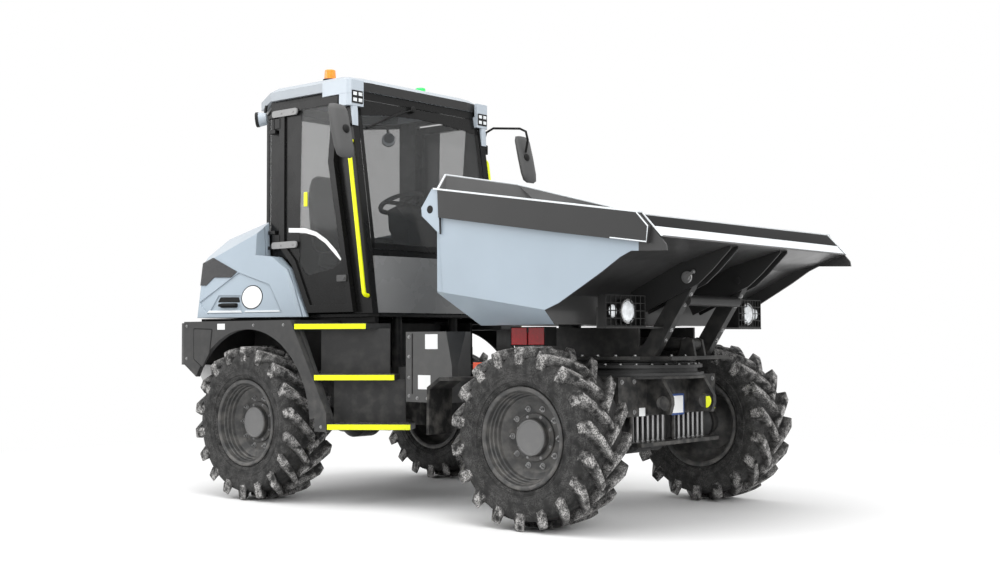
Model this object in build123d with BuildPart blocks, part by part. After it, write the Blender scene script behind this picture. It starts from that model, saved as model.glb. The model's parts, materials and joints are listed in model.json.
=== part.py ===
"""Articulated swivel-skip site dumper with a closed cab, as an assembly of separate pieces.

+X points forward over the skip, +Y to the driver's left, +Z up. The origin is on the ground under the middle of
the machine. All sizes are millimetres. The rear frame carries the cab, the front frame carries the skip; they
hinge at a vertical articulation pin between the axles.
"""

import os
from math import cos, radians, sin

from build123d import *

os.makedirs("parts", exist_ok=True)

# ---------------------------------------------------------------- driving dimensions
WHEELBASE = 2690
PIVOT_X = -90                                 # articulation pin, midway between the axles
FRONT_AXLE_X = PIVOT_X + WHEELBASE / 2
REAR_AXLE_X = PIVOT_X - WHEELBASE / 2
SLEW_X = FRONT_AXLE_X                         # the skip slews about a vertical line over the front axle

TYRE_RADIUS = 580
TYRE_WIDTH = 408
WHEEL_Y = 1036                                # half the track
AXLE_Z = TYRE_RADIUS

BODY_HALF_WIDTH = 1200                        # fenders and skip sides
CAB_HALF_WIDTH = 760
RUNNING_GAP = 0.05                            # radial clearance of pins in bores
PANEL_GAP = 8                                 # between panels that move apart


# ---------------------------------------------------------------- planes and small shapes
def side_plane(y):
    """Sketch plane at a given Y: sketch x is X, sketch y is Z, extrusion runs towards -Y."""
    return Plane(origin=(0, y, 0), x_dir=(1, 0, 0), z_dir=(0, -1, 0))


def cross_plane(x):
    """Sketch plane at a given X: sketch x is Y, sketch y is Z, extrusion runs towards +X."""
    return Plane(origin=(x, 0, 0), x_dir=(0, 1, 0), z_dir=(1, 0, 0))


def level_plane(z):
    """Sketch plane at a given height: sketch x is X, sketch y is Y, extrusion runs up."""
    return Plane.XY.offset(z)


def slab_y(points, y_low, y_high):
    """A side profile in (X, Z) given a thickness from y_low to y_high."""
    with BuildPart() as body:
        with BuildSketch(side_plane(y_high)):
            Polygon(*points, align=None)
        extrude(amount=y_high - y_low)
    return body.part


def slab_x(points, x_low, x_high):
    """A cross profile in (Y, Z) given a length from x_low to x_high."""
    with BuildPart() as body:
        with BuildSketch(cross_plane(x_low)):
            Polygon(*points, align=None)
        extrude(amount=x_high - x_low)
    return body.part


def slab_z(points, z_low, z_high):
    """A plan profile in (X, Y) given a height from z_low to z_high."""
    with BuildPart() as body:
        with BuildSketch(level_plane(z_low)):
            Polygon(*points, align=None)
        extrude(amount=z_high - z_low)
    return body.part


def box(x_low, x_high, y_low, y_high, z_low, z_high):
    return slab_z([(x_low, y_low), (x_high, y_low), (x_high, y_high), (x_low, y_high)], z_low, z_high)


def rod_y(x, z, radius, y_low, y_high):
    with BuildPart() as body:
        with BuildSketch(side_plane(y_high)):
            with Locations((x, z)):
                Circle(radius)
        extrude(amount=y_high - y_low)
    return body.part


def rod_x(y, z, radius, x_low, x_high):
    with BuildPart() as body:
        with BuildSketch(cross_plane(x_low)):
            with Locations((y, z)):
                Circle(radius)
        extrude(amount=x_high - x_low)
    return body.part


def rod_z(x, y, radius, z_low, z_high):
    with BuildPart() as body:
        with BuildSketch(level_plane(z_low)):
            with Locations((x, y)):
                Circle(radius)
        extrude(amount=z_high - z_low)
    return body.part


def tube_along(points, radius, bend):
    """A round bar along straight runs joined by bends."""
    with BuildPart() as body:
        with BuildLine() as path:
            if len(points) > 2:
                FilletPolyline(*points, radius=bend)
            else:
                Line(*points)
        start = path.line @ 0
        with BuildSketch(Plane(origin=start, z_dir=path.line % 0)):
            Circle(radius)
        sweep(path=path.line)
    return body.part


def both_sides(shape):
    """The shape and its mirror image across the machine's centre plane."""
    return [shape, shape.mirror(Plane.XZ)]


def write(builder, name):
    builder.part.label = name
    export_step(builder.part, f"parts/{name}.step")


# ---------------------------------------------------------------- wheels
RIM_FLANGE_RADIUS = 322
RIM_HALF_WIDTH = 180
RIM_SEAT_RADIUS = 300
HUB_CAP_RADIUS = 120
STUB_RADIUS = 45                              # axle stub that carries the hub
STUB_LENGTH = 70
HUB_INNER = -150                              # hub face towards the machine, from the wheel's middle plane
TYRE_SIDES = 36                               # the carcass is faceted, twice as many sides as lugs in a row
LUGS_PER_ROW = 18
LUG_SWEEP = 85                                # half the distance a lug runs round the tyre
LUG_ROOT_RADIUS = 490
LUG_FACE_RADIUS = (TYRE_RADIUS**2 - LUG_SWEEP**2) ** 0.5
TYRE_BORE_RADIUS = 304

# carcass from one side to the other: (distance from the middle plane, radius)
TYRE_STATIONS = [(-TYRE_WIDTH / 2, 428), (-184, 518), (184, 518), (TYRE_WIDTH / 2, 428)]
BEAD = [(163, 324), (TYRE_WIDTH / 2, 402)]    # lower sidewall from the bead out to its widest place
# lug outline: (along the tread, across the tread); the end at the middle leads as the wheel rolls forward
LUG_OUTLINE = [(LUG_SWEEP, -12), (LUG_SWEEP - 56, -12), (-LUG_SWEEP, 203), (-LUG_SWEEP + 66, 203)]
# rim and hub section, outboard is positive: (distance from the middle plane, radius)
RIM_SECTION = [
    (RIM_HALF_WIDTH, RIM_FLANGE_RADIUS), (RIM_HALF_WIDTH - 14, RIM_FLANGE_RADIUS), (RIM_HALF_WIDTH - 16, 304),
    (-RIM_HALF_WIDTH + 16, 304), (-RIM_HALF_WIDTH + 14, RIM_FLANGE_RADIUS), (-RIM_HALF_WIDTH, RIM_FLANGE_RADIUS),
    (-RIM_HALF_WIDTH, 292), (-30, 272), (10, 250), (20, 205), (20, STUB_RADIUS + RUNNING_GAP + 40),
    (HUB_INNER, STUB_RADIUS + RUNNING_GAP + 40), (HUB_INNER, STUB_RADIUS + RUNNING_GAP),
    (STUB_LENGTH - 150 + 5, STUB_RADIUS + RUNNING_GAP), (STUB_LENGTH - 150 + 5, 0), (96, 0), (96, 108),
    (84, HUB_CAP_RADIUS), (34, HUB_CAP_RADIUS), (34, 210), (60, 240), (90, 262), (118, 272), (132, 290),
    (RIM_HALF_WIDTH, 300),
]


def polygon_section(across, radius):
    """A regular polygon round the wheel's axle, its flats outside the radius by half their sag."""
    with BuildSketch(Plane(origin=(0, across, 0), x_dir=(0, 0, 1), z_dir=(0, 1, 0))) as section:
        RegularPolygon(radius, TYRE_SIDES)
    return section.sketch


def wheel_tyre():
    """A tyre about the origin with two rows of swept traction lugs that meet in a chevron."""
    corner = 1 / cos(radians(180 / TYRE_SIDES))
    with BuildPart() as tyre:
        for (across, radius), (next_across, next_radius) in zip(TYRE_STATIONS, TYRE_STATIONS[1:]):
            loft([polygon_section(across, radius), polygon_section(next_across, next_radius)], ruled=True)
        for row in (-1, 1):
            for index in range(LUGS_PER_ROW):
                turn = radians(360 / LUGS_PER_ROW * (index + (0.5 if row > 0 else 0)))
                radial = Vector(sin(turn), 0, cos(turn))
                tangent = Vector(cos(turn), 0, -sin(turn))
                with BuildSketch(Plane(origin=radial * LUG_ROOT_RADIUS, x_dir=tangent, z_dir=radial)):
                    Polygon(*[(along, -row * across) for along, across in LUG_OUTLINE], align=None)
                extrude(amount=LUG_FACE_RADIUS - LUG_ROOT_RADIUS)
        for side in (1, -1):
            bead, widest = [polygon_section(side * across, radius) for across, radius in BEAD]
            loft([bead, widest], ruled=True, mode=Mode.SUBTRACT)
        with BuildSketch(Plane(origin=(0, 250, 0), x_dir=(0, 0, 1), z_dir=(0, -1, 0))):
            RegularPolygon(TYRE_BORE_RADIUS * corner, TYRE_SIDES)
        extrude(amount=500, mode=Mode.SUBTRACT)
    return tyre.part


def wheel_rim(x, y):
    """Deep-dish rim with its disc and hub in one piece."""
    outboard = 1 if y > 0 else -1
    section_plane = Plane(origin=(x, y, AXLE_Z), x_dir=(0, outboard, 0), z_dir=(outboard, 0, 0))
    with BuildPart() as rim:
        with BuildSketch(section_plane):
            Polygon(*RIM_SECTION, align=None)
        revolve(axis=Axis((x, y, AXLE_Z), (0, 1, 0)))
    return rim


tyre_shape = wheel_tyre()
for end, x in (("front", FRONT_AXLE_X), ("rear", REAR_AXLE_X)):
    for side, y in (("right", -WHEEL_Y), ("left", WHEEL_Y)):
        with BuildPart() as tyre:
            add(tyre_shape.moved(Location((x, y, AXLE_Z))))
        write(tyre, f"tyre_{end}_{side}")
        rim = wheel_rim(x, y)
        write(rim, f"rim_{end}_{side}")


# ---------------------------------------------------------------- axles
AXLE_TUBE_RADIUS = 85
AXLE_FLANGE_RADIUS = 130
AXLE_FLANGE_GAP = 12                          # between the axle's end flange and the turning hub
AXLE_END_Y = WHEEL_Y + HUB_INNER - AXLE_FLANGE_GAP
DIFFERENTIAL_RADIUS = 190
AXLE_PAD_TOP = 700                            # the frames sit on the axle's pads
AXLE_PAD_Y = 300


def axle(x, case_side):
    """Drive axle: a waisted tube, a differential case, end flanges and stubs that carry the hubs."""
    half_profile = [
        (0, 0), (0, DIFFERENTIAL_RADIUS - 20), (90, DIFFERENTIAL_RADIUS - 20), (190, AXLE_TUBE_RADIUS + 20),
        (330, AXLE_TUBE_RADIUS), (AXLE_END_Y - 90, AXLE_TUBE_RADIUS), (AXLE_END_Y - 30, AXLE_FLANGE_RADIUS),
        (AXLE_END_Y, AXLE_FLANGE_RADIUS), (AXLE_END_Y, STUB_RADIUS),
        (AXLE_END_Y + AXLE_FLANGE_GAP + STUB_LENGTH, STUB_RADIUS), (AXLE_END_Y + AXLE_FLANGE_GAP + STUB_LENGTH, 0),
    ]
    with BuildPart() as housing:
        with BuildSketch(Plane(origin=(x, 0, AXLE_Z), x_dir=(0, 1, 0), z_dir=(1, 0, 0))):
            Polygon(*half_profile, align=None)
        revolve(axis=Axis((x, 0, AXLE_Z), (0, 1, 0)))
        mirror(about=Plane.XZ)
        # the input housing points at the middle of the machine, the cover bulges away from it
        add(rod_x(0, AXLE_Z, 110, min(x, x - case_side * 330), max(x, x - case_side * 330)))
        add(rod_x(0, AXLE_Z, 140, min(x, x + case_side * 205), max(x, x + case_side * 205)))
        for y in (-AXLE_PAD_Y, AXLE_PAD_Y):
            add(box(x - 110, x + 110, y - 60, y + 60, AXLE_Z, AXLE_PAD_TOP))
    return housing


front_axle = axle(FRONT_AXLE_X, 1)
write(front_axle, "front_axle")
rear_axle = axle(REAR_AXLE_X, -1)
write(rear_axle, "rear_axle")

# ---------------------------------------------------------------- rear chassis and articulation
BEAM_HALF_WIDTH = 360                         # outside of the rear frame's side beams
BEAM_THICKNESS = 30
BEAM_TOP = 1000
BEAM_REAR_X = PIVOT_X - 2030
BEAM_FRONT_X = PIVOT_X - 330
PIN_RADIUS = 45                               # articulation pin
EAR_THICKNESS = 50
EAR_RADIUS = 110
UPPER_EAR_Z = 860                             # underside of the rear frame's upper ear
LOWER_EAR_Z = 560                             # underside of the rear frame's lower ear
EAR_GAP = 2                                   # between the frames' ears

with BuildPart() as rear_chassis:
    beam = [
        (BEAM_REAR_X, 760), (REAR_AXLE_X - 200, AXLE_PAD_TOP), (REAR_AXLE_X + 300, AXLE_PAD_TOP),
        (REAR_AXLE_X + 450, 560), (BEAM_FRONT_X, 560), (BEAM_FRONT_X, BEAM_TOP), (BEAM_REAR_X, BEAM_TOP),
    ]
    for y in (-BEAM_HALF_WIDTH, BEAM_HALF_WIDTH - BEAM_THICKNESS):
        add(slab_y(beam, y, y + BEAM_THICKNESS))
    add(box(BEAM_REAR_X, BEAM_REAR_X + 30, -BEAM_HALF_WIDTH, BEAM_HALF_WIDTH, 760, BEAM_TOP))
    add(box(BEAM_FRONT_X - 30, BEAM_FRONT_X, -BEAM_HALF_WIDTH, BEAM_HALF_WIDTH, 560, BEAM_TOP))
    add(box(BEAM_REAR_X, BEAM_FRONT_X, -BEAM_HALF_WIDTH, BEAM_HALF_WIDTH, BEAM_TOP - 20, BEAM_TOP))
    # articulation ears reach forward from the cross wall, one above and one below the front frame's tongue
    for z in (UPPER_EAR_Z, LOWER_EAR_Z):
        with BuildSketch(level_plane(z)):
            Polygon((BEAM_FRONT_X - 10, -260), (PIVOT_X, -EAR_RADIUS), (PIVOT_X, EAR_RADIUS),
                    (BEAM_FRONT_X - 10, 260), align=None)
            with Locations((PIVOT_X, 0)):
                Circle(EAR_RADIUS)
        extrude(amount=EAR_THICKNESS)
    add(rod_z(PIVOT_X, 0, PIN_RADIUS, LOWER_EAR_Z - 20, UPPER_EAR_Z + EAR_THICKNESS + 20))
    # opening in the cross wall for the steering cylinder, and its anchor inside the left beam
    add(box(BEAM_FRONT_X - 31, BEAM_FRONT_X + 1, 185, BEAM_HALF_WIDTH - BEAM_THICKNESS, 660, 810), mode=Mode.SUBTRACT)
    for z in (660, 770):
        add(box(PIVOT_X - 570, PIVOT_X - 480, 232, BEAM_HALF_WIDTH - 10, z, z + 40))
    add(rod_z(PIVOT_X - 520, 268, 16, 660, 810))
    # cab mounts on top of the beams
    for y in (-BEAM_HALF_WIDTH, BEAM_HALF_WIDTH):
        for x in (PIVOT_X - 1500, PIVOT_X - 620):
            add(rod_z(x, y - (40 if y > 0 else -40), 38, BEAM_TOP, 1375))
write(rear_chassis, "rear_chassis")

FENDER_TOP = 1350
FENDER_THICKNESS = 40
ARCH_RADIUS = 705
TOWER_Y = 560

# outline of the fender's side plate in (X from the articulation pin, Z)
FENDER_PLATE = [
    (-2120, 1015), (-2120, FENDER_TOP - 10), (-2105, FENDER_TOP), (-855, FENDER_TOP), (-465, 680), (-465, 545),
    (-590, 545), (-590, 640), (-800, AXLE_Z), (-1900, AXLE_Z), (-1935, 775), (-1935, 900),
]
with BuildPart() as right_fender:
    with BuildSketch(side_plane(-BODY_HALF_WIDTH + FENDER_THICKNESS)):
        Polygon(*[(PIVOT_X + x, z) for x, z in FENDER_PLATE], align=None)
        with Locations((REAR_AXLE_X, AXLE_Z)):
            Circle(ARCH_RADIUS, mode=Mode.SUBTRACT)
    extrude(amount=FENDER_THICKNESS)
    # the top runs inwards over the tyre to the frame
    add(box(PIVOT_X - 2100, PIVOT_X - 855, -BODY_HALF_WIDTH, -BEAM_HALF_WIDTH, FENDER_TOP - 25, FENDER_TOP))
    # inner wall between wheel and frame
    add(box(PIVOT_X - 2028, PIVOT_X - 620, -TOWER_Y, -TOWER_Y + 25, BEAM_TOP - 60, FENDER_TOP - 10))
    add(box(PIVOT_X - 1900, PIVOT_X - 1700, -TOWER_Y, -BEAM_HALF_WIDTH, BEAM_TOP - 60, BEAM_TOP - 30))
    add(box(PIVOT_X - 2120, PIVOT_X - 2085, -BODY_HALF_WIDTH, -BEAM_HALF_WIDTH, 1015, FENDER_TOP))

with BuildPart() as fenders:
    add(both_sides(right_fender.part))
write(fenders, "fenders")

HOOD_HINGE_X = PIVOT_X - 2195
HOOD_HINGE_Z = 1425
HOOD_PIN = 12
BUMPER_HALF_WIDTH = BODY_HALF_WIDTH - 10
BUMPER_FRONT_X = PIVOT_X - 2120
BUMPER_REAR_X = PIVOT_X - 2247
with BuildPart() as rear_bumper:
    # cast end weight across the back, rounded in plan
    with BuildSketch(level_plane(1010)):
        with BuildLine():
            Line((BUMPER_FRONT_X, -BUMPER_HALF_WIDTH), (BUMPER_FRONT_X, BUMPER_HALF_WIDTH))
            ThreePointArc((BUMPER_FRONT_X, BUMPER_HALF_WIDTH), (BUMPER_REAR_X + 25, BUMPER_HALF_WIDTH - 50),
                          (BUMPER_REAR_X, BUMPER_HALF_WIDTH - 150))
            Line((BUMPER_REAR_X, BUMPER_HALF_WIDTH - 150), (BUMPER_REAR_X, 150 - BUMPER_HALF_WIDTH))
            ThreePointArc((BUMPER_REAR_X, 150 - BUMPER_HALF_WIDTH), (BUMPER_REAR_X + 25, 50 - BUMPER_HALF_WIDTH),
                          (BUMPER_FRONT_X, -BUMPER_HALF_WIDTH))
        make_face()
    extrude(amount=330)
    add(slab_y([(PIVOT_X - 2120, 1010), (PIVOT_X - 2235, 1010), (PIVOT_X - 2060, 770), (PIVOT_X - 2030, 770),
                (PIVOT_X - 2030, 1010)],
               -1000, 1000))
    for y in (-500, 500):
        for low, high in ((y - 60, y - 30), (y + 30, y + 60)):
            add(slab_y([(HOOD_HINGE_X - 35, 1330), (HOOD_HINGE_X + 35, 1330), (HOOD_HINGE_X + 24, HOOD_HINGE_Z),
                        (HOOD_HINGE_X, HOOD_HINGE_Z + 24), (HOOD_HINGE_X - 24, HOOD_HINGE_Z)], low, high))
        add(rod_y(HOOD_HINGE_X, HOOD_HINGE_Z, HOOD_PIN, y - 60, y + 60))
write(rear_bumper, "rear_bumper")

# ---------------------------------------------------------------- access steps and side boxes
STEP_LINE_ANGLE = 35                          # the steps run in towards the articulation, clear of the front tyre
STEP_THICKNESS = 42
STEP_DEPTH = 230
RISER_THICKNESS = 12
STRINGER_WIDTH = 28
# (top height, outer start behind the pin, length along the step's edge)
STEPS = [(1322, -808, 530), (952, -593, 585), (602, -455, 600)]
ALONG = Vector(cos(radians(STEP_LINE_ANGLE)), -sin(radians(STEP_LINE_ANGLE)))
INWARD = Vector(-sin(radians(STEP_LINE_ANGLE)), -cos(radians(STEP_LINE_ANGLE)))
PLATE_INNER = BODY_HALF_WIDTH - FENDER_THICKNESS


def step_corners(start_x, length, depth):
    """Outer start, outer end, inner end and inner start of a tread, for the left side."""
    start = Vector(PIVOT_X + start_x, BODY_HALF_WIDTH)
    end = start + ALONG * length
    return start, end, end + INWARD * depth, start + INWARD * depth


with BuildPart() as left_steps:
    for index, (top, start_x, length) in enumerate(STEPS):
        start, end, inner_end, inner_start = step_corners(start_x, length, STEP_DEPTH)
        if index == 0:
            inner_end = Vector(end.X, 640)
            inner_start = Vector(start.X - 60, 640)
        tread = [(start.X, start.Y), (end.X, end.Y), (inner_end.X, inner_end.Y),
                 (inner_start.X, inner_start.Y), (start.X - 10, PLATE_INNER), (start.X, PLATE_INNER)]
        add(slab_z(tread, top - STEP_THICKNESS, top))
        if index > 0:
            # riser behind the tread, up to the tread above
            riser_end = inner_end - ALONG * 70
            back = inner_start + INWARD * RISER_THICKNESS
            back_end = riser_end + INWARD * RISER_THICKNESS
            riser = [(inner_start.X, inner_start.Y), (riser_end.X, riser_end.Y),
                     (back_end.X, back_end.Y), (back.X, back.Y)]
            add(slab_z(riser, top - STEP_THICKNESS, STEPS[index - 1][0] - STEP_THICKNESS + 5))
    # stringer inside the fender's front strip ties the treads together
    stringer = [(-900, 1310), (-800, 1310), (-455, 640), (-455, 560), (-560, 560), (-640, 760)]
    add(slab_y([(PIVOT_X + x, z) for x, z in stringer], PLATE_INNER - STRINGER_WIDTH, PLATE_INNER))
    # carrier from the side beam out to the lowest riser
    add(box(PIVOT_X - 560, PIVOT_X - 420, BEAM_HALF_WIDTH, 900, 575, 600))

with BuildPart() as steps:
    add(both_sides(left_steps.part))
write(steps, "steps")

BOX_INNER_Y = 500
BOX_OUTER_Y = 800
BOX_BOTTOM = 757
BOX_TOP = 1258
with BuildPart() as left_box:
    plan = [(-118, BOX_INNER_Y), (295, BOX_INNER_Y), (385, BOX_OUTER_Y - 60), (385, BOX_OUTER_Y),
            (-60, BOX_OUTER_Y), (-118, BOX_OUTER_Y - 58)]
    add(slab_z([(PIVOT_X + x, y) for x, y in plan], BOX_BOTTOM, BOX_TOP))
    # the front edge is cut back above and below its middle
    for z_edge, z_end in ((1010, BOX_TOP), (930, BOX_BOTTOM)):
        add(slab_y([(PIVOT_X + 386, z_edge), (PIVOT_X + 386, z_end), (PIVOT_X + 330, z_end)],
                   BOX_INNER_Y - 1, BOX_OUTER_Y + 1), mode=Mode.SUBTRACT)
    add(box(BEAM_FRONT_X, PIVOT_X - 118, 400, 600, 860, 1000))
    add(box(BEAM_FRONT_X, BEAM_FRONT_X + 20, 300, 600, 860, 1000))

with BuildPart() as side_boxes:
    add(both_sides(left_box.part))
write(side_boxes, "side_boxes")

with BuildPart() as battery_pack:
    add(box(PIVOT_X - 1980, PIVOT_X - 700, -262, 262, BEAM_TOP, 1330))
write(battery_pack, "battery_pack")

# ---------------------------------------------------------------- cab
FLOOR_BOTTOM = 1375
FLOOR_TOP = 1400
DOOR_BOTTOM = 1410
GLASS_BOTTOM = 1880
TUB_TOP = 2100
ROOF_UNDERSIDE = 3100
DOOR_TOP = 3055
GLASS = 8
A_FOOT_X = -470                               # middle of the front pillar at the floor, from the pin
A_HEAD_X = -720                               # and at the roof
PILLAR = 60
B_PILLAR_X = -1560
REAR_X = -1930
REAR_HALF_WIDTH = 520
PILLAR_INNER = CAB_HALF_WIDTH - PILLAR
DOOR_HINGE_X = PIVOT_X - 1500
DOOR_HINGE_Y = CAB_HALF_WIDTH + 40
DOOR_HINGE_HEIGHTS = (1950, 2870)
HINGE_PIN = 9
KNUCKLE_RADIUS = 16


def pillar_x(z):
    """X of the front pillar's middle line at a height, from the articulation pin."""
    return A_FOOT_X + (A_HEAD_X - A_FOOT_X) * (z - FLOOR_TOP) / (ROOF_UNDERSIDE - FLOOR_TOP)


with BuildPart() as cab_floor:
    outline = [(-460, CAB_HALF_WIDTH - 80), (-530, CAB_HALF_WIDTH - 40), (-1600, CAB_HALF_WIDTH - 40),
               (REAR_X + 10, REAR_HALF_WIDTH - 10)]
    plan = [(PIVOT_X + x, y) for x, y in outline] + [(PIVOT_X + x, -y) for x, y in reversed(outline)]
    add(slab_z(plan, FLOOR_BOTTOM, FLOOR_TOP))
    # tub wall round the back, below the rear window
    wall = [(-1600, CAB_HALF_WIDTH - 10), (REAR_X, REAR_HALF_WIDTH)]
    inner = [(REAR_X + 36, REAR_HALF_WIDTH - 20), (-1600, CAB_HALF_WIDTH - 50)]
    for side in (1, -1):
        add(slab_z([(PIVOT_X + x, side * y) for x, y in wall + inner], FLOOR_BOTTOM, TUB_TOP))
    add(box(PIVOT_X + REAR_X, PIVOT_X + REAR_X + 36, -REAR_HALF_WIDTH, REAR_HALF_WIDTH, FLOOR_BOTTOM, TUB_TOP))
write(cab_floor, "cab_floor")

with BuildPart() as cab_frame:
    half = PILLAR / 2
    for side in (1, -1):
        y_low, y_high = sorted((side * PILLAR_INNER, side * CAB_HALF_WIDTH))
        # front pillar leans back
        add(slab_y([(PIVOT_X - 630, FLOOR_TOP), (PIVOT_X + A_FOOT_X + half, FLOOR_TOP),
                    (PIVOT_X + A_HEAD_X + half, ROOF_UNDERSIDE), (PIVOT_X - 800, ROOF_UNDERSIDE),
                    (PIVOT_X - 845, 2560)], y_low, y_high))
        # door pillar and roof rail
        add(box(PIVOT_X + B_PILLAR_X - 30, PIVOT_X - 1400, y_low, y_high, FLOOR_TOP, ROOF_UNDERSIDE))
        add(box(PIVOT_X + B_PILLAR_X - 30, PIVOT_X + A_HEAD_X, y_low, y_high, DOOR_TOP + 10, ROOF_UNDERSIDE))
        # rear corner post and the rail that joins it to the door pillar
        y_low, y_high = sorted((side * (REAR_HALF_WIDTH - 50), side * REAR_HALF_WIDTH))
        add(box(PIVOT_X + REAR_X, PIVOT_X + REAR_X + 36, y_low, y_high, TUB_TOP, ROOF_UNDERSIDE))
        add(slab_z([(PIVOT_X + B_PILLAR_X - 20, side * CAB_HALF_WIDTH), (PIVOT_X + REAR_X, side * REAR_HALF_WIDTH),
                    (PIVOT_X + REAR_X + 36, side * (REAR_HALF_WIDTH - 20)),
                    (PIVOT_X + B_PILLAR_X - 20, side * (CAB_HALF_WIDTH - 40))], ROOF_UNDERSIDE - 40, ROOF_UNDERSIDE))
        # hinge lugs and pins of the door
        for z in DOOR_HINGE_HEIGHTS:
            for low in (z - 34, z + 86):
                y_low, y_high = sorted((side * (CAB_HALF_WIDTH - 10), side * (DOOR_HINGE_Y + KNUCKLE_RADIUS)))
                add(box(PIVOT_X + B_PILLAR_X, PIVOT_X - 1480, y_low, y_high, low, low + 28))
            add(rod_z(DOOR_HINGE_X, side * DOOR_HINGE_Y, HINGE_PIN, z - 34, z + 114))
    # header, windscreen sill and rear header
    add(box(PIVOT_X + A_HEAD_X - half, PIVOT_X + A_HEAD_X + half, -CAB_HALF_WIDTH, CAB_HALF_WIDTH,
            ROOF_UNDERSIDE - 60, ROOF_UNDERSIDE))
    sill_x = PIVOT_X + pillar_x(GLASS_BOTTOM)
    add(box(sill_x - half, sill_x + half - 12, -CAB_HALF_WIDTH + 20, CAB_HALF_WIDTH - 20,
            GLASS_BOTTOM - 46, GLASS_BOTTOM))
    add(box(PIVOT_X + REAR_X, PIVOT_X + REAR_X + 36, -REAR_HALF_WIDTH, REAR_HALF_WIDTH,
            ROOF_UNDERSIDE - 40, ROOF_UNDERSIDE))
write(cab_frame, "cab_frame")

ROOF_RIM = 70
ROOF_CROWN = 42
ROOF_TOP = ROOF_UNDERSIDE + ROOF_RIM + ROOF_CROWN
with BuildPart() as cab_roof:
    outline = [(-672, CAB_HALF_WIDTH - 200), (-705, CAB_HALF_WIDTH - 25), (-800, CAB_HALF_WIDTH + 35),
               (-1560, CAB_HALF_WIDTH + 35), (-1965, REAR_HALF_WIDTH + 30)]
    plan = [(PIVOT_X + x, y) for x, y in outline] + [(PIVOT_X + x, -y) for x, y in reversed(outline)]
    add(slab_z(plan, ROOF_UNDERSIDE, ROOF_UNDERSIDE + ROOF_RIM))
    with BuildSketch(level_plane(ROOF_UNDERSIDE + ROOF_RIM)):
        Polygon(*plan, align=None)
    extrude(amount=ROOF_CROWN, taper=60)
    lining = [(-765, PILLAR_INNER - 15), (-1590, PILLAR_INNER - 15), (-1880, REAR_HALF_WIDTH - 60)]
    hollow = [(PIVOT_X + x, y) for x, y in lining] + [(PIVOT_X + x, -y) for x, y in reversed(lining)]
    add(slab_z(hollow, ROOF_UNDERSIDE - 1, ROOF_UNDERSIDE + ROOF_RIM), mode=Mode.SUBTRACT)
write(cab_roof, "cab_roof")

COWL_TOP = 1860
COWL_HALF_WIDTH = PILLAR_INNER - 4
COWL_THICKNESS = 28
COWL_CORNER_X = -476
COWL_NOSE_X = -432
with BuildPart() as cab_cowl:
    with BuildSketch(level_plane(FLOOR_BOTTOM + 30)):
        with BuildLine():
            ThreePointArc((PIVOT_X + COWL_CORNER_X, -COWL_HALF_WIDTH), (PIVOT_X + COWL_NOSE_X, 0),
                          (PIVOT_X + COWL_CORNER_X, COWL_HALF_WIDTH))
            Line((PIVOT_X + COWL_CORNER_X, COWL_HALF_WIDTH),
                 (PIVOT_X + COWL_CORNER_X - COWL_THICKNESS, COWL_HALF_WIDTH))
            ThreePointArc((PIVOT_X + COWL_CORNER_X - COWL_THICKNESS, COWL_HALF_WIDTH),
                          (PIVOT_X + COWL_NOSE_X - COWL_THICKNESS, 0),
                          (PIVOT_X + COWL_CORNER_X - COWL_THICKNESS, -COWL_HALF_WIDTH))
            Line((PIVOT_X + COWL_CORNER_X - COWL_THICKNESS, -COWL_HALF_WIDTH),
                 (PIVOT_X + COWL_CORNER_X, -COWL_HALF_WIDTH))
        make_face()
    extrude(amount=GLASS_BOTTOM - 50 - FLOOR_BOTTOM - 30)
write(cab_cowl, "cab_cowl")

with BuildPart() as windscreen:
    low = PIVOT_X + pillar_x(GLASS_BOTTOM) + 14
    high = PIVOT_X + pillar_x(ROOF_UNDERSIDE - 64) + 14
    add(slab_y([(low, GLASS_BOTTOM + 2), (low + GLASS, GLASS_BOTTOM + 2), (high + GLASS, ROOF_UNDERSIDE - 64),
                (high, ROOF_UNDERSIDE - 64)], -PILLAR_INNER + 3, PILLAR_INNER - 3))
write(windscreen, "windscreen")

with BuildPart() as rear_windows:
    add(box(PIVOT_X + REAR_X + 10, PIVOT_X + REAR_X + 18, -REAR_HALF_WIDTH + 53, REAR_HALF_WIDTH - 53,
            TUB_TOP + 3, ROOF_UNDERSIDE - 43))
    for side in (1, -1):
        add(slab_z([(PIVOT_X + B_PILLAR_X - 34, side * (CAB_HALF_WIDTH - 14)),
                    (PIVOT_X + REAR_X + 34, side * (REAR_HALF_WIDTH + 6)),
                    (PIVOT_X + REAR_X + 40, side * (REAR_HALF_WIDTH - 2)),
                    (PIVOT_X + B_PILLAR_X - 34, side * (CAB_HALF_WIDTH - 24))], TUB_TOP + 3, ROOF_UNDERSIDE - 43))
write(rear_windows, "rear_windows")

SEAT_X = -1430                                # middle of the seat cushion, from the pin
SEAT_HALF_WIDTH = 250
CUSHION_TOP = 1930
with BuildPart() as seat:
    add(box(PIVOT_X + SEAT_X - 200, PIVOT_X + SEAT_X + 200, -190, 190, FLOOR_TOP, 1790))
    with BuildSketch(side_plane(SEAT_HALF_WIDTH)):
        Polygon((PIVOT_X + SEAT_X - 240, 1790), (PIVOT_X + SEAT_X + 230, 1790), (PIVOT_X + SEAT_X + 270, 1860),
                (PIVOT_X + SEAT_X + 240, CUSHION_TOP), (PIVOT_X + SEAT_X - 160, CUSHION_TOP - 25),
                (PIVOT_X + SEAT_X - 290, 2560), (PIVOT_X + SEAT_X - 370, 2585), (PIVOT_X + SEAT_X - 400, 2520),
                (PIVOT_X + SEAT_X - 300, 1860), align=None)
    extrude(amount=2 * SEAT_HALF_WIDTH)
write(seat, "seat")

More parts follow.
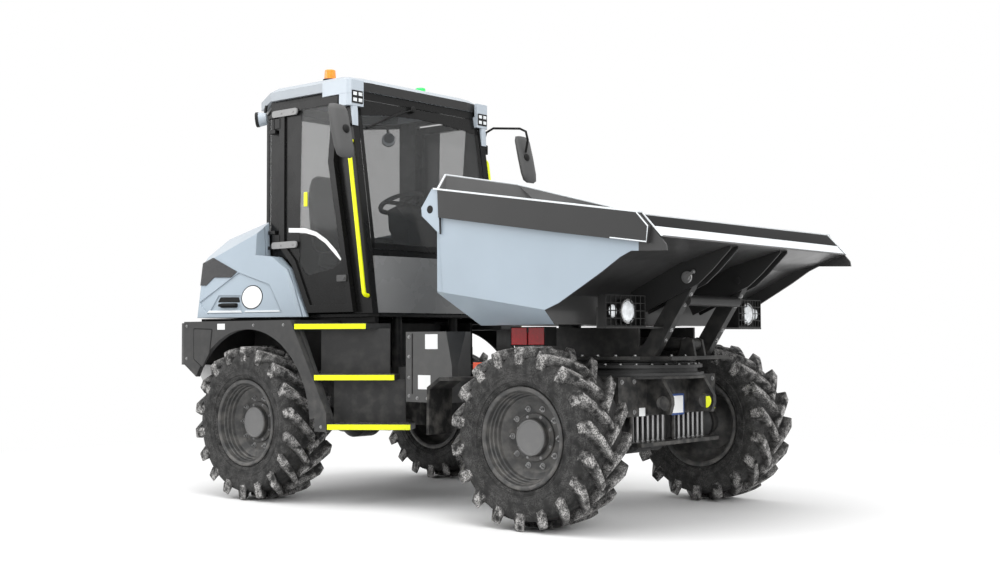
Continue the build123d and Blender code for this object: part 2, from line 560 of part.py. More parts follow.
WHEEL_CENTRE = Vector(PIVOT_X - 880, 0, 2290)
COLUMN_LEAN = 22                              # degrees that the steering column leans back
with BuildPart() as dash_console:
    add(slab_y([(PIVOT_X - 560, FLOOR_TOP), (PIVOT_X - 760, FLOOR_TOP), (PIVOT_X - 740, 1900), (PIVOT_X - 840, 2080),
                (PIVOT_X - 850, 2230), (PIVOT_X - 760, 2255), (PIVOT_X - 640, 2140), (PIVOT_X - 600, 1860)],
               -190, 190))
write(dash_console, "dash_console")

with BuildPart() as steering_wheel:
    wheel_plane = Plane(origin=WHEEL_CENTRE, x_dir=(0, 1, 0),
                        z_dir=(-sin(radians(COLUMN_LEAN)), 0, cos(radians(COLUMN_LEAN))))
    with BuildSketch(wheel_plane):
        Circle(190)
        Circle(160, mode=Mode.SUBTRACT)
    extrude(amount=26)
    with BuildSketch(wheel_plane):
        Circle(48)
        with Locations((0, 0)):
            Rectangle(330, 34)
        with Locations((0, -85)):
            Rectangle(34, 160)
    extrude(amount=18)
    with BuildSketch(wheel_plane):
        Circle(26)
    extrude(amount=-62)
write(steering_wheel, "steering_wheel")

# ---------------------------------------------------------------- lamps, mirrors and rails on the cab
FRONT_LAMP_Y = CAB_HALF_WIDTH - 52
REAR_LAMP_Y = CAB_HALF_WIDTH - 20
with BuildPart() as work_lamps:
    for side in (1, -1):
        # front pair hangs under the roof's nose, outside the windscreen
        add(box(PIVOT_X - 665, PIVOT_X - 610, side * FRONT_LAMP_Y - 48, side * FRONT_LAMP_Y + 48, 2985, 3095))
        add(box(PIVOT_X - 680, PIVOT_X - 660, side * FRONT_LAMP_Y - 20, side * FRONT_LAMP_Y + 20,
                3060, ROOF_UNDERSIDE))
        # rear pair
        add(box(PIVOT_X - 1790, PIVOT_X - 1730, side * REAR_LAMP_Y - 55, side * REAR_LAMP_Y + 55, 2930, 3040))
        add(box(PIVOT_X - 1775, PIVOT_X - 1745, side * (REAR_LAMP_Y - 48) - 27, side * (REAR_LAMP_Y - 48) + 27,
                3030, ROOF_UNDERSIDE))
write(work_lamps, "work_lamps")

with BuildPart() as beacons:
    for side in (1, -1):
        with BuildSketch(level_plane(ROOF_TOP)):
            with Locations((PIVOT_X - 1165, side * 520)):
                Circle(58)
        extrude(amount=46)
        with BuildSketch(level_plane(ROOF_TOP + 46)):
            with Locations((PIVOT_X - 1165, side * 520)):
                Circle(50)
        extrude(amount=86, taper=6)
write(beacons, "beacons")

RAIL_Y = CAB_HALF_WIDTH + 40                  # grab rails and mirror arms stand this far out
MIRROR_Y = CAB_HALF_WIDTH + 305
with BuildPart() as mirrors:
    for side in (1, -1):
        # head: outline seen from behind, thin along X, leaning forward towards its foot
        head = [(-526, 2919), (-484, 2925), (-392, 2560), (-400, 2516), (-440, 2512)]
        add(slab_y([(PIVOT_X + x, z) for x, z in head], side * MIRROR_Y - 95, side * MIRROR_Y + 95))
        add(tube_along([(PIVOT_X - 690, side * CAB_HALF_WIDTH, 2830), (PIVOT_X - 690, side * RAIL_Y, 2830),
                        (PIVOT_X - 560, side * (RAIL_Y + 120), 2800),
                        (PIVOT_X - 470, side * (MIRROR_Y - 55), 2766)], 13, 25))
write(mirrors, "mirrors")

with BuildPart() as grab_rails:
    for side in (1, -1):
        add(tube_along([(PIVOT_X + pillar_x(2700), side * CAB_HALF_WIDTH, 2700),
                        (PIVOT_X + pillar_x(2700), side * RAIL_Y, 2700),
                        (PIVOT_X + pillar_x(1530), side * RAIL_Y, 1530),
                        (PIVOT_X + pillar_x(1530), side * CAB_HALF_WIDTH, 1530)], 16, 30))
write(grab_rails, "grab_rails")

# ---------------------------------------------------------------- doors
DOOR_THICKNESS = 42
DOOR_INNER = CAB_HALF_WIDTH + 6
DOOR_OUTER = DOOR_INNER + DOOR_THICKNESS
# outline from the articulation pin: (x, z)
DOOR_OUTLINE = [(-1440, DOOR_TOP), (-765, DOOR_TOP), (-815, 2560), (-600, DOOR_BOTTOM), (-1105, DOOR_BOTTOM),
                (-1290, 1786), (-1440, 1936)]
DOOR_OPENING = [(-1378, DOOR_TOP - 62), (-830, DOOR_TOP - 62), (-877, 2560), (-661, 1470), (-1077, 1470),
                (-1248, 1817), (-1378, 1948)]
# the lower edge of the glass, from the front of the door's opening to its rear; a black panel fills below it
GLASS_EDGE = [(-726.4, 1800), (-840, 1740), (-1120, 1700), (-1248, 1817)]


def door_frame(side):
    """One door: a ring-shaped leaf and the hinge knuckles at its rear edge."""
    y_low, y_high = sorted((side * DOOR_INNER, side * DOOR_OUTER))
    with BuildPart() as leaf:
        add(slab_y([(PIVOT_X + x, z) for x, z in DOOR_OUTLINE], y_low, y_high))
        add(slab_y([(PIVOT_X + x, z) for x, z in DOOR_OPENING], y_low - 1, y_high + 1), mode=Mode.SUBTRACT)
        for z in DOOR_HINGE_HEIGHTS:
            add(box(DOOR_HINGE_X - 2, PIVOT_X - 1430, side * DOOR_HINGE_Y - 12, side * DOOR_HINGE_Y + 12, z, z + 80))
            add(rod_z(DOOR_HINGE_X, side * DOOR_HINGE_Y, KNUCKLE_RADIUS, z, z + 80))
        for z in DOOR_HINGE_HEIGHTS:
            add(rod_z(DOOR_HINGE_X, side * DOOR_HINGE_Y, HINGE_PIN + RUNNING_GAP, z - 1, z + 81), mode=Mode.SUBTRACT)
    return leaf.part


def door_filling(side, outline, thickness):
    """A sheet set in the middle of the door's thickness, held in the leaf all round."""
    middle = side * (DOOR_INNER + DOOR_OUTER) / 2
    return slab_y([(PIVOT_X + x, z) for x, z in outline], middle - thickness / 2, middle + thickness / 2)


PANE = DOOR_OPENING[:3] + GLASS_EDGE + DOOR_OPENING[6:]
LOWER_PANEL = GLASS_EDGE + [DOOR_OPENING[4], DOOR_OPENING[3]]


with BuildPart() as door_right_frame:
    add(door_frame(-1))
write(door_right_frame, "door_right_frame")
with BuildPart() as door_left_frame:
    add(door_frame(1))
write(door_left_frame, "door_left_frame")
for side, name in ((-1, "right"), (1, "left")):
    with BuildPart() as pane:
        add(door_filling(side, PANE, GLASS))
    write(pane, f"door_{name}_glass")
    with BuildPart() as lower_panel:
        add(door_filling(side, LOWER_PANEL, 14))
    write(lower_panel, f"door_{name}_panel")

# ---------------------------------------------------------------- front frame
FRONT_PLATE_X = PIVOT_X + 1700                # reference line of the lashing lugs
HEAD_PLATE_X = PIVOT_X + 1655                 # front face of the frame's head
TONGUE_BOTTOM = LOWER_EAR_Z + EAR_THICKNESS + EAR_GAP
TONGUE_TOP = UPPER_EAR_Z - EAR_GAP
RING_BASE = 953
TURNTABLE_BOTTOM = 1062
LUG_Y = 262
LUG_THICKNESS = 36
LUG_HOLE = 50
LUG_HOLE_X = FRONT_PLATE_X + 87
LUG_HOLE_Z = 775
with BuildPart() as front_chassis:
    # tongue that carries the articulation pin's bore
    add(rod_z(PIVOT_X, 0, 130, TONGUE_BOTTOM, TONGUE_TOP))
    add(slab_z([(PIVOT_X, -130), (PIVOT_X + 330, -240), (PIVOT_X + 330, 240), (PIVOT_X, 130)],
               TONGUE_BOTTOM, TONGUE_TOP))
    # bracket plates above and below the steering cylinder's eye
    for z in (680, 765):
        bracket = [(160, 100), (160, 285), (240, 285), (300, 200)]
        add(slab_z([(PIVOT_X + x, y) for x, y in bracket], z, z + 25))
    # head: box that carries the slewing ring
    add(box(PIVOT_X + 320, PIVOT_X + 660, -235, 235, 700, RING_BASE))
    add(box(PIVOT_X + 640, HEAD_PLATE_X - 10, -330, 330, 700, RING_BASE))
    add(box(FRONT_AXLE_X - 345, FRONT_AXLE_X + 220, -205, 205, 699, 775), mode=Mode.SUBTRACT)
    add(rod_z(SLEW_X, 0, 510, 935, RING_BASE))
    add(box(HEAD_PLATE_X - 28, HEAD_PLATE_X, -600, 600, 690, RING_BASE))
    # guard plate in front of the axle, hung from the head plate by four studs
    add(box(FRONT_PLATE_X - 130, FRONT_PLATE_X + 50, -480, 480, 495, 520))
    for y in (-440, -60, 60, 440):
        add(rod_z(HEAD_PLATE_X - 14, y, 14, 478, 700))
    for side in (1, -1):
        # lashing lugs
        y_low, y_high = sorted((side * (LUG_Y - LUG_THICKNESS / 2), side * (LUG_Y + LUG_THICKNESS / 2)))
        add(slab_y([(HEAD_PLATE_X - 10, 944), (FRONT_PLATE_X + 70, 944), (FRONT_PLATE_X + 152, 815),
                    (FRONT_PLATE_X + 155, 770), (FRONT_PLATE_X + 135, 702), (HEAD_PLATE_X - 10, 702)], y_low, y_high))
        # wings under the marker lamps, and the arms of the mudguards
        y_low, y_high = sorted((side * 300, side * 815))
        add(box(SLEW_X - 455, SLEW_X - 80, y_low, y_high, 925, 950))
        arm = [(900, 640), (900, 815), (870, 822), (650, 1120), (560, 1120), (560, 892), (700, 780)]
        add(slab_z([(PIVOT_X + x, side * y) for x, y in arm], 925, 950))
    for side in (1, -1):
        y_low, y_high = sorted((side * (LUG_Y - 60), side * (LUG_Y + 60)))
        add(rod_y(LUG_HOLE_X, LUG_HOLE_Z, LUG_HOLE, y_low, y_high), mode=Mode.SUBTRACT)
    add(rod_z(PIVOT_X, 0, PIN_RADIUS + RUNNING_GAP, TONGUE_BOTTOM - 1, TONGUE_TOP + 1), mode=Mode.SUBTRACT)
write(front_chassis, "front_chassis")

with BuildPart() as mudguards:
    # bent sheet behind each front wheel, at the end of its arm
    sheet = [(560, 950), (445, 880), (440, 560), (462, 560), (470, 868), (560, 922)]
    for side in (1, -1):
        add(slab_y([(PIVOT_X + x, z) for x, z in sheet], *sorted((side * 892, side * 1120))))
write(mudguards, "mudguards")

with BuildPart() as slew_ring:
    for radius, z_low, z_high in ((500, RING_BASE, 975), (455, 975, 1006), (490, 1006, 1028), (440, 1028, 1044)):
        add(rod_z(SLEW_X, 0, radius, z_low, z_high))
    # centre post that the turntable turns about
    add(rod_z(SLEW_X, 0, 120, 1044, TURNTABLE_BOTTOM + 22))
write(slew_ring, "slew_ring")

with BuildPart() as marker_lamps:
    for side in (1, -1):
        y_low, y_high = sorted((side * 700, side * 820))
        add(box(SLEW_X - 410, SLEW_X - 120, y_low, y_high, 1165, 1245))
        add(box(SLEW_X - 300, SLEW_X - 230, *sorted((side * 720, side * 750)), 950, 1170))
write(marker_lamps, "marker_lamps")

# ---------------------------------------------------------------- hood
HOOD_BOTTOM = 1380
HOOD_WALL = 24


def keep_side_of(shape, origin, inward):
    """Cuts a shape by a plane and keeps the part the inward direction points to."""
    with BuildPart() as body:
        add(shape)
        split(bisect_by=Plane(origin=origin, z_dir=inward), keep=Keep.TOP)
    return body.part


def face_normal(a, b, c, towards):
    """Unit normal of the plane through three points, on the side where `towards` lies."""
    a, b, c, towards = Vector(a), Vector(b), Vector(c), Vector(towards)
    normal = (b - a).cross(c - a).normalized()
    return normal if normal.dot(towards - a) > 0 else normal * -1


HOOD_FRONT_Y = CAB_HALF_WIDTH + 90            # half width beside the door and at the rear corner
HOOD_REAR_Y = BODY_HALF_WIDTH - 52
# planes that bound the hood on the left side: three points each, from the articulation pin
HOOD_MIDDLE = (-2050, 0, 1500)
HOOD_FACES = [
    ((-1170, HOOD_FRONT_Y, 1380), (-2020, HOOD_REAR_Y, 1380), (-1360, HOOD_FRONT_Y + 18, 1715)),  # lower side
    ((-1975, 1035, 1860), (-2190, 750, 2014), (-1650, 750, 2139)),      # shoulder
    ((-2190, 750, 2014), (-1650, 750, 2139), (-2190, 0, 2030)),         # top
    ((-2020, HOOD_REAR_Y, 1380), (-2110, HOOD_REAR_Y - 108, 1380), (-2020, HOOD_REAR_Y - 16, 1500)),  # rear corner
    ((-2110, HOOD_REAR_Y - 108, 1380), (-2150, 0, 1380), (-2110, HOOD_REAR_Y - 108, 1500)),       # rear
    ((-1120, HOOD_FRONT_Y - 70, 1380), (-1170, HOOD_FRONT_Y, 1380), (-1318, HOOD_FRONT_Y, 1750)),  # beside the door
]


def hood_solid(inset):
    """The hood's outer volume with every face moved in by a wall's thickness."""
    front_edge = [(-1125, 1380), (-1312, 1755), (-1442, 1855), (-1582, 1872), (-1600, 2150)]
    profile = front_edge + [(-2400, 2400), (-2400, 1300), (-1085, 1300)]
    shape = slab_y([(PIVOT_X + x - inset, z) for x, z in profile], -1200, 1200)
    for a, b, c in HOOD_FACES:
        for side in (1, -1):
            points = [Vector(PIVOT_X + p[0], side * p[1], p[2]) for p in (a, b, c)]
            middle = Vector(PIVOT_X + HOOD_MIDDLE[0], 0, HOOD_MIDDLE[2])
            inward = face_normal(*points, middle)
            shape = keep_side_of(shape, points[0] + inward * inset, inward)
    return shape


CAB_NOTCH = [(-1000, CAB_HALF_WIDTH + 12), (-1602, CAB_HALF_WIDTH + 12), (-1948, REAR_HALF_WIDTH + 12)]
TRIM_OUTER = CAB_HALF_WIDTH + 55              # the hood's fixed edge strip beside the door ends here
TRIM_REAR_X = PIVOT_X - 1600
with BuildPart() as hood_shell:
    add(hood_solid(0))
    add(slab_z([(PIVOT_X - 900, -1300), (PIVOT_X - 2500, -1300), (PIVOT_X - 2500, 1300), (PIVOT_X - 900, 1300)],
               1200, HOOD_BOTTOM), mode=Mode.SUBTRACT)
    add(hood_solid(HOOD_WALL), mode=Mode.SUBTRACT)
    notch = [(PIVOT_X + x, y) for x, y in CAB_NOTCH] + [(PIVOT_X + x, -y) for x, y in reversed(CAB_NOTCH)]
    add(slab_z(notch, 1300, 2400), mode=Mode.SUBTRACT)

with BuildPart() as hood_trim:
    add(hood_shell.part)
    add(box(TRIM_REAR_X, PIVOT_X - 1000, -TRIM_OUTER, TRIM_OUTER, 1200, 2400), mode=Mode.INTERSECT)
write(hood_trim, "hood_trim")

# side outlines from the articulation pin: the recessed panel, and the pocket of the latch handle in it
HOOD_RECESS = [(-1711, 1735), (-1435, 1635), (-1305, 1416), (-1937, 1408), (-2016, 1503)]
LATCH_POCKET = [(-1867, 1556), (-1678, 1553), (-1654, 1436), (-1921, 1439)]


def hood_skin(outline, depth):
    """The outer layer of both sides of the hood, inside a side outline."""
    with BuildPart() as skin:
        add(hood_solid(0))
        add(hood_solid(depth), mode=Mode.SUBTRACT)
        add(slab_y([(PIVOT_X + x, z) for x, z in outline], -1300, 1300), mode=Mode.INTERSECT)
    return skin.part


recess_skin = hood_skin(HOOD_RECESS, 9)
pocket_skin = hood_skin(LATCH_POCKET, 18)
with BuildPart() as hood:
    add(hood_shell.part)
    add(recess_skin, mode=Mode.SUBTRACT)
    add(pocket_skin, mode=Mode.SUBTRACT)
    add(box(TRIM_REAR_X - 6, PIVOT_X - 1000, -TRIM_OUTER - 6, TRIM_OUTER + 6, 1200, 2400), mode=Mode.SUBTRACT)
    for y in (-500, 500):
        add(slab_y([(HOOD_HINGE_X, HOOD_HINGE_Z - 22), (HOOD_HINGE_X + 95, HOOD_HINGE_Z - 25),
                    (HOOD_HINGE_X + 95, HOOD_HINGE_Z + 60), (HOOD_HINGE_X, HOOD_HINGE_Z + 22)], y - 25, y + 25))
        add(rod_y(HOOD_HINGE_X, HOOD_HINGE_Z, 24, y - 25, y + 25))
        add(rod_y(HOOD_HINGE_X, HOOD_HINGE_Z, HOOD_PIN + RUNNING_GAP, y - 26, y + 26), mode=Mode.SUBTRACT)
write(hood, "hood")

LENS_OUTLINE = [(-2110, 1790), (-1943, 1859), (-1720, 1743), (-1766, 1697), (-1913, 1700), (-1974, 1637),
                (-2105, 1640)]
with BuildPart() as lens_region:
    for y_low in (-1250, 880):
        add(slab_y([(PIVOT_X + x, z) for x, z in LENS_OUTLINE], y_low, y_low + 370))

with BuildPart() as tail_lamps:
    add(hood_solid(-6))
    add(lens_region.part, mode=Mode.INTERSECT)
    add(hood_solid(0), mode=Mode.SUBTRACT)
write(tail_lamps, "tail_lamps")

# ---------------------------------------------------------------- turntable and guard lamps
TURNTABLE_TOP = 1086
SKIP_PIVOT_X = SLEW_X + 695
SKIP_PIVOT_Z = 1597
SKIP_PIN = 25
STRUT_Y = 320
STRUT_HALF = 30
TIP_BASE_X = SLEW_X + 500
TIP_BASE_Z = 1165
TIP_EYE_X = SLEW_X - 560
TIP_EYE_Z = 1175
TIP_PIN = 22
POST_RADIUS = 120
CRADLE_TOP = 1280
SHELF_TOP = 1280
LAMP_INNER = 586
LAMP_OUTER = 967
LAMP_TOP = 1479

with BuildPart() as turntable:
    add(rod_z(SLEW_X, 0, 510, TURNTABLE_BOTTOM, TURNTABLE_TOP))
    add(rod_z(SLEW_X, 0, 445, 1049, TURNTABLE_BOTTOM))
    add(slab_z([(SLEW_X + 200, -400), (SLEW_X + 565, -360), (SLEW_X + 565, 360), (SLEW_X + 200, 400)],
               TURNTABLE_BOTTOM, TURNTABLE_TOP))
    for side in (1, -1):
        # strut: a straight slanted bar with a round head at the skip's pivot
        y_low, y_high = sorted((side * STRUT_Y - STRUT_HALF, side * STRUT_Y + STRUT_HALF))
        add(slab_y([(SLEW_X + 190, TURNTABLE_TOP), (SLEW_X + 425, TURNTABLE_TOP),
                    (SKIP_PIVOT_X + 45, SKIP_PIVOT_Z - 31), (SKIP_PIVOT_X - 45, SKIP_PIVOT_Z + 31),
                    (SLEW_X + 340, 1165), (SLEW_X + 190, 1110)], y_low, y_high))
        add(rod_y(SKIP_PIVOT_X, SKIP_PIVOT_Z, 55, y_low, y_high))
        add(rod_y(SKIP_PIVOT_X, SKIP_PIVOT_Z, SKIP_PIN, side * STRUT_Y - 60, side * STRUT_Y + 60))
        # cradle behind the strut: side wall, and a cross wall open in the middle for the tip cylinder
        add(box(SLEW_X - 440, SLEW_X + 300, *sorted((side * 330, side * 350)), TURNTABLE_TOP, CRADLE_TOP))
        add(box(SLEW_X - 440, SLEW_X - 425, *sorted((side * 80, side * 350)), TURNTABLE_TOP - 24, CRADLE_TOP))
        # clevis for the tip cylinder's base
        y_low, y_high = sorted((side * 50, side * 70))
        clevis = [(-70, TURNTABLE_TOP), (62, TURNTABLE_TOP), (40, TIP_BASE_Z + 30), (0, TIP_BASE_Z + 45),
                  (-42, TIP_BASE_Z + 30)]
        add(slab_y([(TIP_BASE_X + x, z) for x, z in clevis], y_low, y_high))
        # shelf and back plate that carry the guard lamp, above the reach of the side boxes
        shelf = [(405, 340), (500, 340), (516, LAMP_INNER), (480, LAMP_OUTER), (405, LAMP_OUTER)]
        add(slab_z([(SLEW_X + x, side * y) for x, y in shelf], SHELF_TOP - 12, SHELF_TOP))
        add(box(SLEW_X + 405, SLEW_X + 417, *sorted((side * 560, side * LAMP_OUTER)), SHELF_TOP - 1, 1400))
    add(rod_y(TIP_BASE_X, TIP_BASE_Z, TIP_PIN, -70, 70))
    add(rod_y(SLEW_X + 655, 1450, 35, -STRUT_Y, STRUT_Y))
    add(rod_z(SLEW_X, 0, POST_RADIUS + RUNNING_GAP, 1040, TURNTABLE_TOP + 1), mode=Mode.SUBTRACT)
write(turntable, "turntable")

CAGE_BAR = 3                                  # half the width of the bars
CAGE_COLUMNS = 7
CAGE_ROWS = 5


def cage_x(y):
    """X of the lamp cage's front at a distance from the middle plane; its outer end stands further back."""
    return SLEW_X + 513 - 38 * (y - LAMP_INNER) / (LAMP_OUTER - LAMP_INNER)


with BuildPart() as guard_lamps:
    for side in (1, -1):
        add(box(SLEW_X + 417, SLEW_X + 440, *sorted((side * LAMP_INNER, side * LAMP_OUTER)), SHELF_TOP, LAMP_TOP))
        add(rod_x(side * 749, 1376, 78, SLEW_X + 430, SLEW_X + 488))
        add(rod_x(side * 885, 1376, 46, SLEW_X + 430, SLEW_X + 472))
        # cage: upright bars, level bars, and a plate at either end
        for column in range(1, CAGE_COLUMNS + 1):
            y = LAMP_INNER + (LAMP_OUTER - LAMP_INNER) * column / (CAGE_COLUMNS + 1)
            x = cage_x(y)
            add(box(x - CAGE_BAR, x + CAGE_BAR, side * y - CAGE_BAR, side * y + CAGE_BAR, SHELF_TOP, LAMP_TOP))
        for row in range(CAGE_ROWS):
            z = SHELF_TOP + CAGE_BAR + (LAMP_TOP - SHELF_TOP - 2 * CAGE_BAR) * row / (CAGE_ROWS - 1)
            bar = [(cage_x(y) + x, side * y) for x, y in ((-CAGE_BAR, LAMP_INNER), (CAGE_BAR, LAMP_INNER),
                                                          (CAGE_BAR, LAMP_OUTER), (-CAGE_BAR, LAMP_OUTER))]
            add(slab_z(bar, z - CAGE_BAR, z + CAGE_BAR))
        for y in (LAMP_INNER, LAMP_OUTER - 6):
            plate_low, plate_high = sorted((side * y, side * (y + 6)))
            add(box(SLEW_X + 417, cage_x(y) + CAGE_BAR, plate_low, plate_high, SHELF_TOP, LAMP_TOP))
write(guard_lamps, "guard_lamps")


# ---------------------------------------------------------------- cylinders
def cylinder_body(base, direction, across, eye_radius, pin, half_width, barrel_radius, start, mouth, bore,
                  bore_start):
    """A barrel that turns on a pin at its base; its bore is the running fit of the rod."""
    base, direction, across = Vector(base), Vector(direction).normalized(), Vector(across)
    with BuildPart() as body:
        with BuildSketch(Plane(origin=base - across * half_width, x_dir=direction, z_dir=across)):
            Circle(eye_radius)
            with Locations(((start + 10) / 2, 0)):
                Rectangle(start + 10, 2 * eye_radius * 0.8)
        extrude(amount=2 * half_width)
        with BuildSketch(Plane(origin=base + direction * start, z_dir=direction)):
            Circle(barrel_radius)
        extrude(amount=mouth - start)
        with BuildSketch(Plane(origin=base + direction * (mouth - 50), z_dir=direction)):
            Circle(barrel_radius + 8)
        extrude(amount=50)
        with BuildSketch(Plane(origin=base + direction * bore_start, z_dir=direction)):
            Circle(bore + RUNNING_GAP)
        extrude(amount=mouth - bore_start + 1, mode=Mode.SUBTRACT)
        with BuildSketch(Plane(origin=base - across * (half_width + 1), x_dir=direction, z_dir=across)):
            Circle(pin + RUNNING_GAP)
        extrude(amount=2 * half_width + 2, mode=Mode.SUBTRACT)
    return body.part


def cylinder_rod(base, direction, across, eye_radius, eye_hole, half_width, rod_radius, inner_end, eye_at):
    """A rod with its eye; the eye's hole is open and larger than the pin it stands for."""
    base, direction, across = Vector(base), Vector(direction).normalized(), Vector(across)
    eye = base + direction * eye_at
    with BuildPart() as body:
        with BuildSketch(Plane(origin=base + direction * inner_end, z_dir=direction)):
            Circle(rod_radius)
        extrude(amount=eye_at - inner_end - eye_hole)
        with BuildSketch(Plane(origin=eye - across * half_width, x_dir=direction, z_dir=across)):
            Circle(eye_radius)
        extrude(amount=2 * half_width)
        with BuildSketch(Plane(origin=eye - across * (half_width + 1), x_dir=direction, z_dir=across)):
            Circle(eye_hole)
        extrude(amount=2 * half_width + 2, mode=Mode.SUBTRACT)
    return body.part


TIP_DIRECTION = (TIP_EYE_X - TIP_BASE_X, 0, TIP_EYE_Z - TIP_BASE_Z)
TIP_LENGTH = Vector(*TIP_DIRECTION).length
TIP_BASE = (TIP_BASE_X, 0, TIP_BASE_Z)
TIP_MOUTH = 760
with BuildPart() as tip_barrel:
    add(cylinder_body(TIP_BASE, TIP_DIRECTION, (0, 1, 0), 40, TIP_PIN, 44, 45, 62, TIP_MOUTH, 28, 232))
write(tip_barrel, "tip_barrel")
with BuildPart() as tip_rod:
    add(cylinder_rod(TIP_BASE, TIP_DIRECTION, (0, 1, 0), 38, 20, 32, 28, 242, TIP_LENGTH))
write(tip_rod, "tip_rod")

STEER_BASE = (PIVOT_X - 520, 268, 735)
STEER_EYE = (PIVOT_X + 200, 260, 735)
STEER_DIRECTION = (STEER_EYE[0] - STEER_BASE[0], STEER_EYE[1] - STEER_BASE[1], 0)
STEER_LENGTH = Vector(*STEER_DIRECTION).length
STEER_PIN = 16
with BuildPart() as steer_barrel:
    add(cylinder_body(STEER_BASE, STEER_DIRECTION, (0, 0, 1), 30, STEER_PIN, 28, 34, 50, 450, 20, 140))
write(steer_barrel, "steer_barrel")
with BuildPart() as steer_rod:
    add(cylinder_rod(STEER_BASE, STEER_DIRECTION, (0, 0, 1), 30, 15, 24, 20, 303, STEER_LENGTH))
write(steer_rod, "steer_rod")

# ---------------------------------------------------------------- skip
SKIP_WALL = 12
SKIP_HALF_WIDTH = 1188
# side outline from the slewing axis: (x, z)
SKIP_OUTLINE = [(-600, 1295), (145, 1295), (190, 1480), (640, 1690), (1048, 1795), (905, 1945), (-740, 2203),
                (-1370, 2420)]
SKIP_INNER = [(-593.7, 1307), (135.6, 1307), (179.6, 1488.4), (635.1, 1701.1), (1300, 1872.2), (1300, 2700),
              (-1547.6, 2700)]
LOWER_SIDE = ((-680, 1188, 1513), (179, 1188, 1383), (-200, 988, 1295))
REAR_CORNER = ((-740, 1188, 1295), (-1370, 420, 1295), (-740, 1188, 2420))


def skip_volume(outline, half_width, inset):
    """A side outline given its width, with the lower sides and rear corners cut off."""
    shape = slab_y([(SLEW_X + x, z) for x, z in outline], -half_width, half_width)
    for a, b, c in (LOWER_SIDE, REAR_CORNER):
        for side in (1, -1):
            points = [Vector(SLEW_X + p[0], side * p[1], p[2]) for p in (a, b, c)]
            inward = face_normal(*points, (SLEW_X, 0, 1900))
            shape = keep_side_of(shape, points[0] + inward * inset, inward)
    return shape


with BuildPart() as skip_shell:
    add(skip_volume(SKIP_OUTLINE, SKIP_HALF_WIDTH, 0))
    add(skip_volume(SKIP_INNER, SKIP_HALF_WIDTH - SKIP_WALL, SKIP_WALL), mode=Mode.SUBTRACT)
    cheek = [(-740, 2203), (-717, 2019), (-680, 1513), (179, 1383), (290, 1424), (611, 1602), (751, 1688),
             (830, 1722), (1082, 1713), (1075, 1750), (905, 1945)]
    for side in (1, -1):
        y_low, y_high = sorted((side * (SKIP_HALF_WIDTH - 2), side * (SKIP_HALF_WIDTH + 12)))
        add(slab_y([(SLEW_X + x, z) for x, z in cheek], y_low, y_high))
        # eye plate at the rear of the cheek
        ear = [(-700, 2197), (-760, 2206), (-855, 2085), (-850, 2030), (-800, 1990), (-690, 1900)]
        y_low, y_high = sorted((side * (SKIP_HALF_WIDTH + 12), side * (SKIP_HALF_WIDTH + 32)))
        add(slab_y([(SLEW_X + x, z) for x, z in ear], y_low, y_high))
write(skip_shell, "skip_shell")

with BuildPart() as skip_bands:
    for side in (1, -1):
        y_low, y_high = sorted((side * (SKIP_HALF_WIDTH + 12), side * (SKIP_HALF_WIDTH + 44)))
        add(slab_y([(SLEW_X + x, z) for x, z in [(-699, 2196), (-690, 2010), (302, 1858), (965, 1762), (975, 1860),
                                                 (897, 1946)]], y_low, y_high))
write(skip_bands, "skip_bands")

with BuildPart() as skip_lip:
    add(slab_y([(SLEW_X + x, z) for x, z in [(1037, 1806), (985, 1862), (965, 1850), (1003, 1797)]],
               12 - SKIP_HALF_WIDTH, SKIP_HALF_WIDTH - 12))
write(skip_lip, "skip_lip")

with BuildPart() as skip_ribs:
    rib = [(260, 1512.2), (335, 1365), (780, 1556), (880, 1637), (1018, 1770), (1018, 1786.8), (640, 1689.6)]
    for side in (1, -1):
        for offset in (-45, 45):
            middle = side * STRUT_Y + offset
            add(slab_y([(SLEW_X + x, z) for x, z in rib], middle - 6, middle + 6))
            add(rod_y(SKIP_PIVOT_X, SKIP_PIVOT_Z, SKIP_PIN + RUNNING_GAP, middle - 7, middle + 7), mode=Mode.SUBTRACT)
        # bracket plates of the tip cylinder's eye
        y_low, y_high = sorted((side * 40, side * 52))
        add(slab_y([(SLEW_X - 598, 1295), (SLEW_X - 470, 1295), (SLEW_X - 525, 1135), (SLEW_X - 560, 1120),
                    (SLEW_X - 595, 1135)], y_low, y_high))
write(skip_ribs, "skip_ribs")
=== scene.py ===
"""Looks of the articulated site dumper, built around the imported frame. In metres, +X runs forward."""
import json
from math import copysign, cos, pi, radians, sin

import bmesh
import bpy
from mathutils import Matrix, Vector


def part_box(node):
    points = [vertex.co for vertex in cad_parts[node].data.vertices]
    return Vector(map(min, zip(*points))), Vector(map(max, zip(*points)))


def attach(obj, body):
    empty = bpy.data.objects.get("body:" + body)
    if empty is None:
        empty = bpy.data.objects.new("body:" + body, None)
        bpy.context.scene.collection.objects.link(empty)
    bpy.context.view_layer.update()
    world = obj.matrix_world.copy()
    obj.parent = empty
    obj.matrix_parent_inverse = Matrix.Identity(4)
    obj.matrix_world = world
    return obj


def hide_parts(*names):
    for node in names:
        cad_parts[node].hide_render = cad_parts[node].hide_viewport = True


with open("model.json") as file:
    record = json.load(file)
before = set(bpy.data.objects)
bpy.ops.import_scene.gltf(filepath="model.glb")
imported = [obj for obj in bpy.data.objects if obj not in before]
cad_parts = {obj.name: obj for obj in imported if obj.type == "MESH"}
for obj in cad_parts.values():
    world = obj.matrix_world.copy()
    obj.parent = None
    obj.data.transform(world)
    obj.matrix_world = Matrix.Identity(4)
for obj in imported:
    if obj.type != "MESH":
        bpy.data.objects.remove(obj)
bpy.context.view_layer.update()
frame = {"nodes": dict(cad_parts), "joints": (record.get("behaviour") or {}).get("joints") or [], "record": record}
joints = {joint["name"]: joint for joint in frame["joints"]}

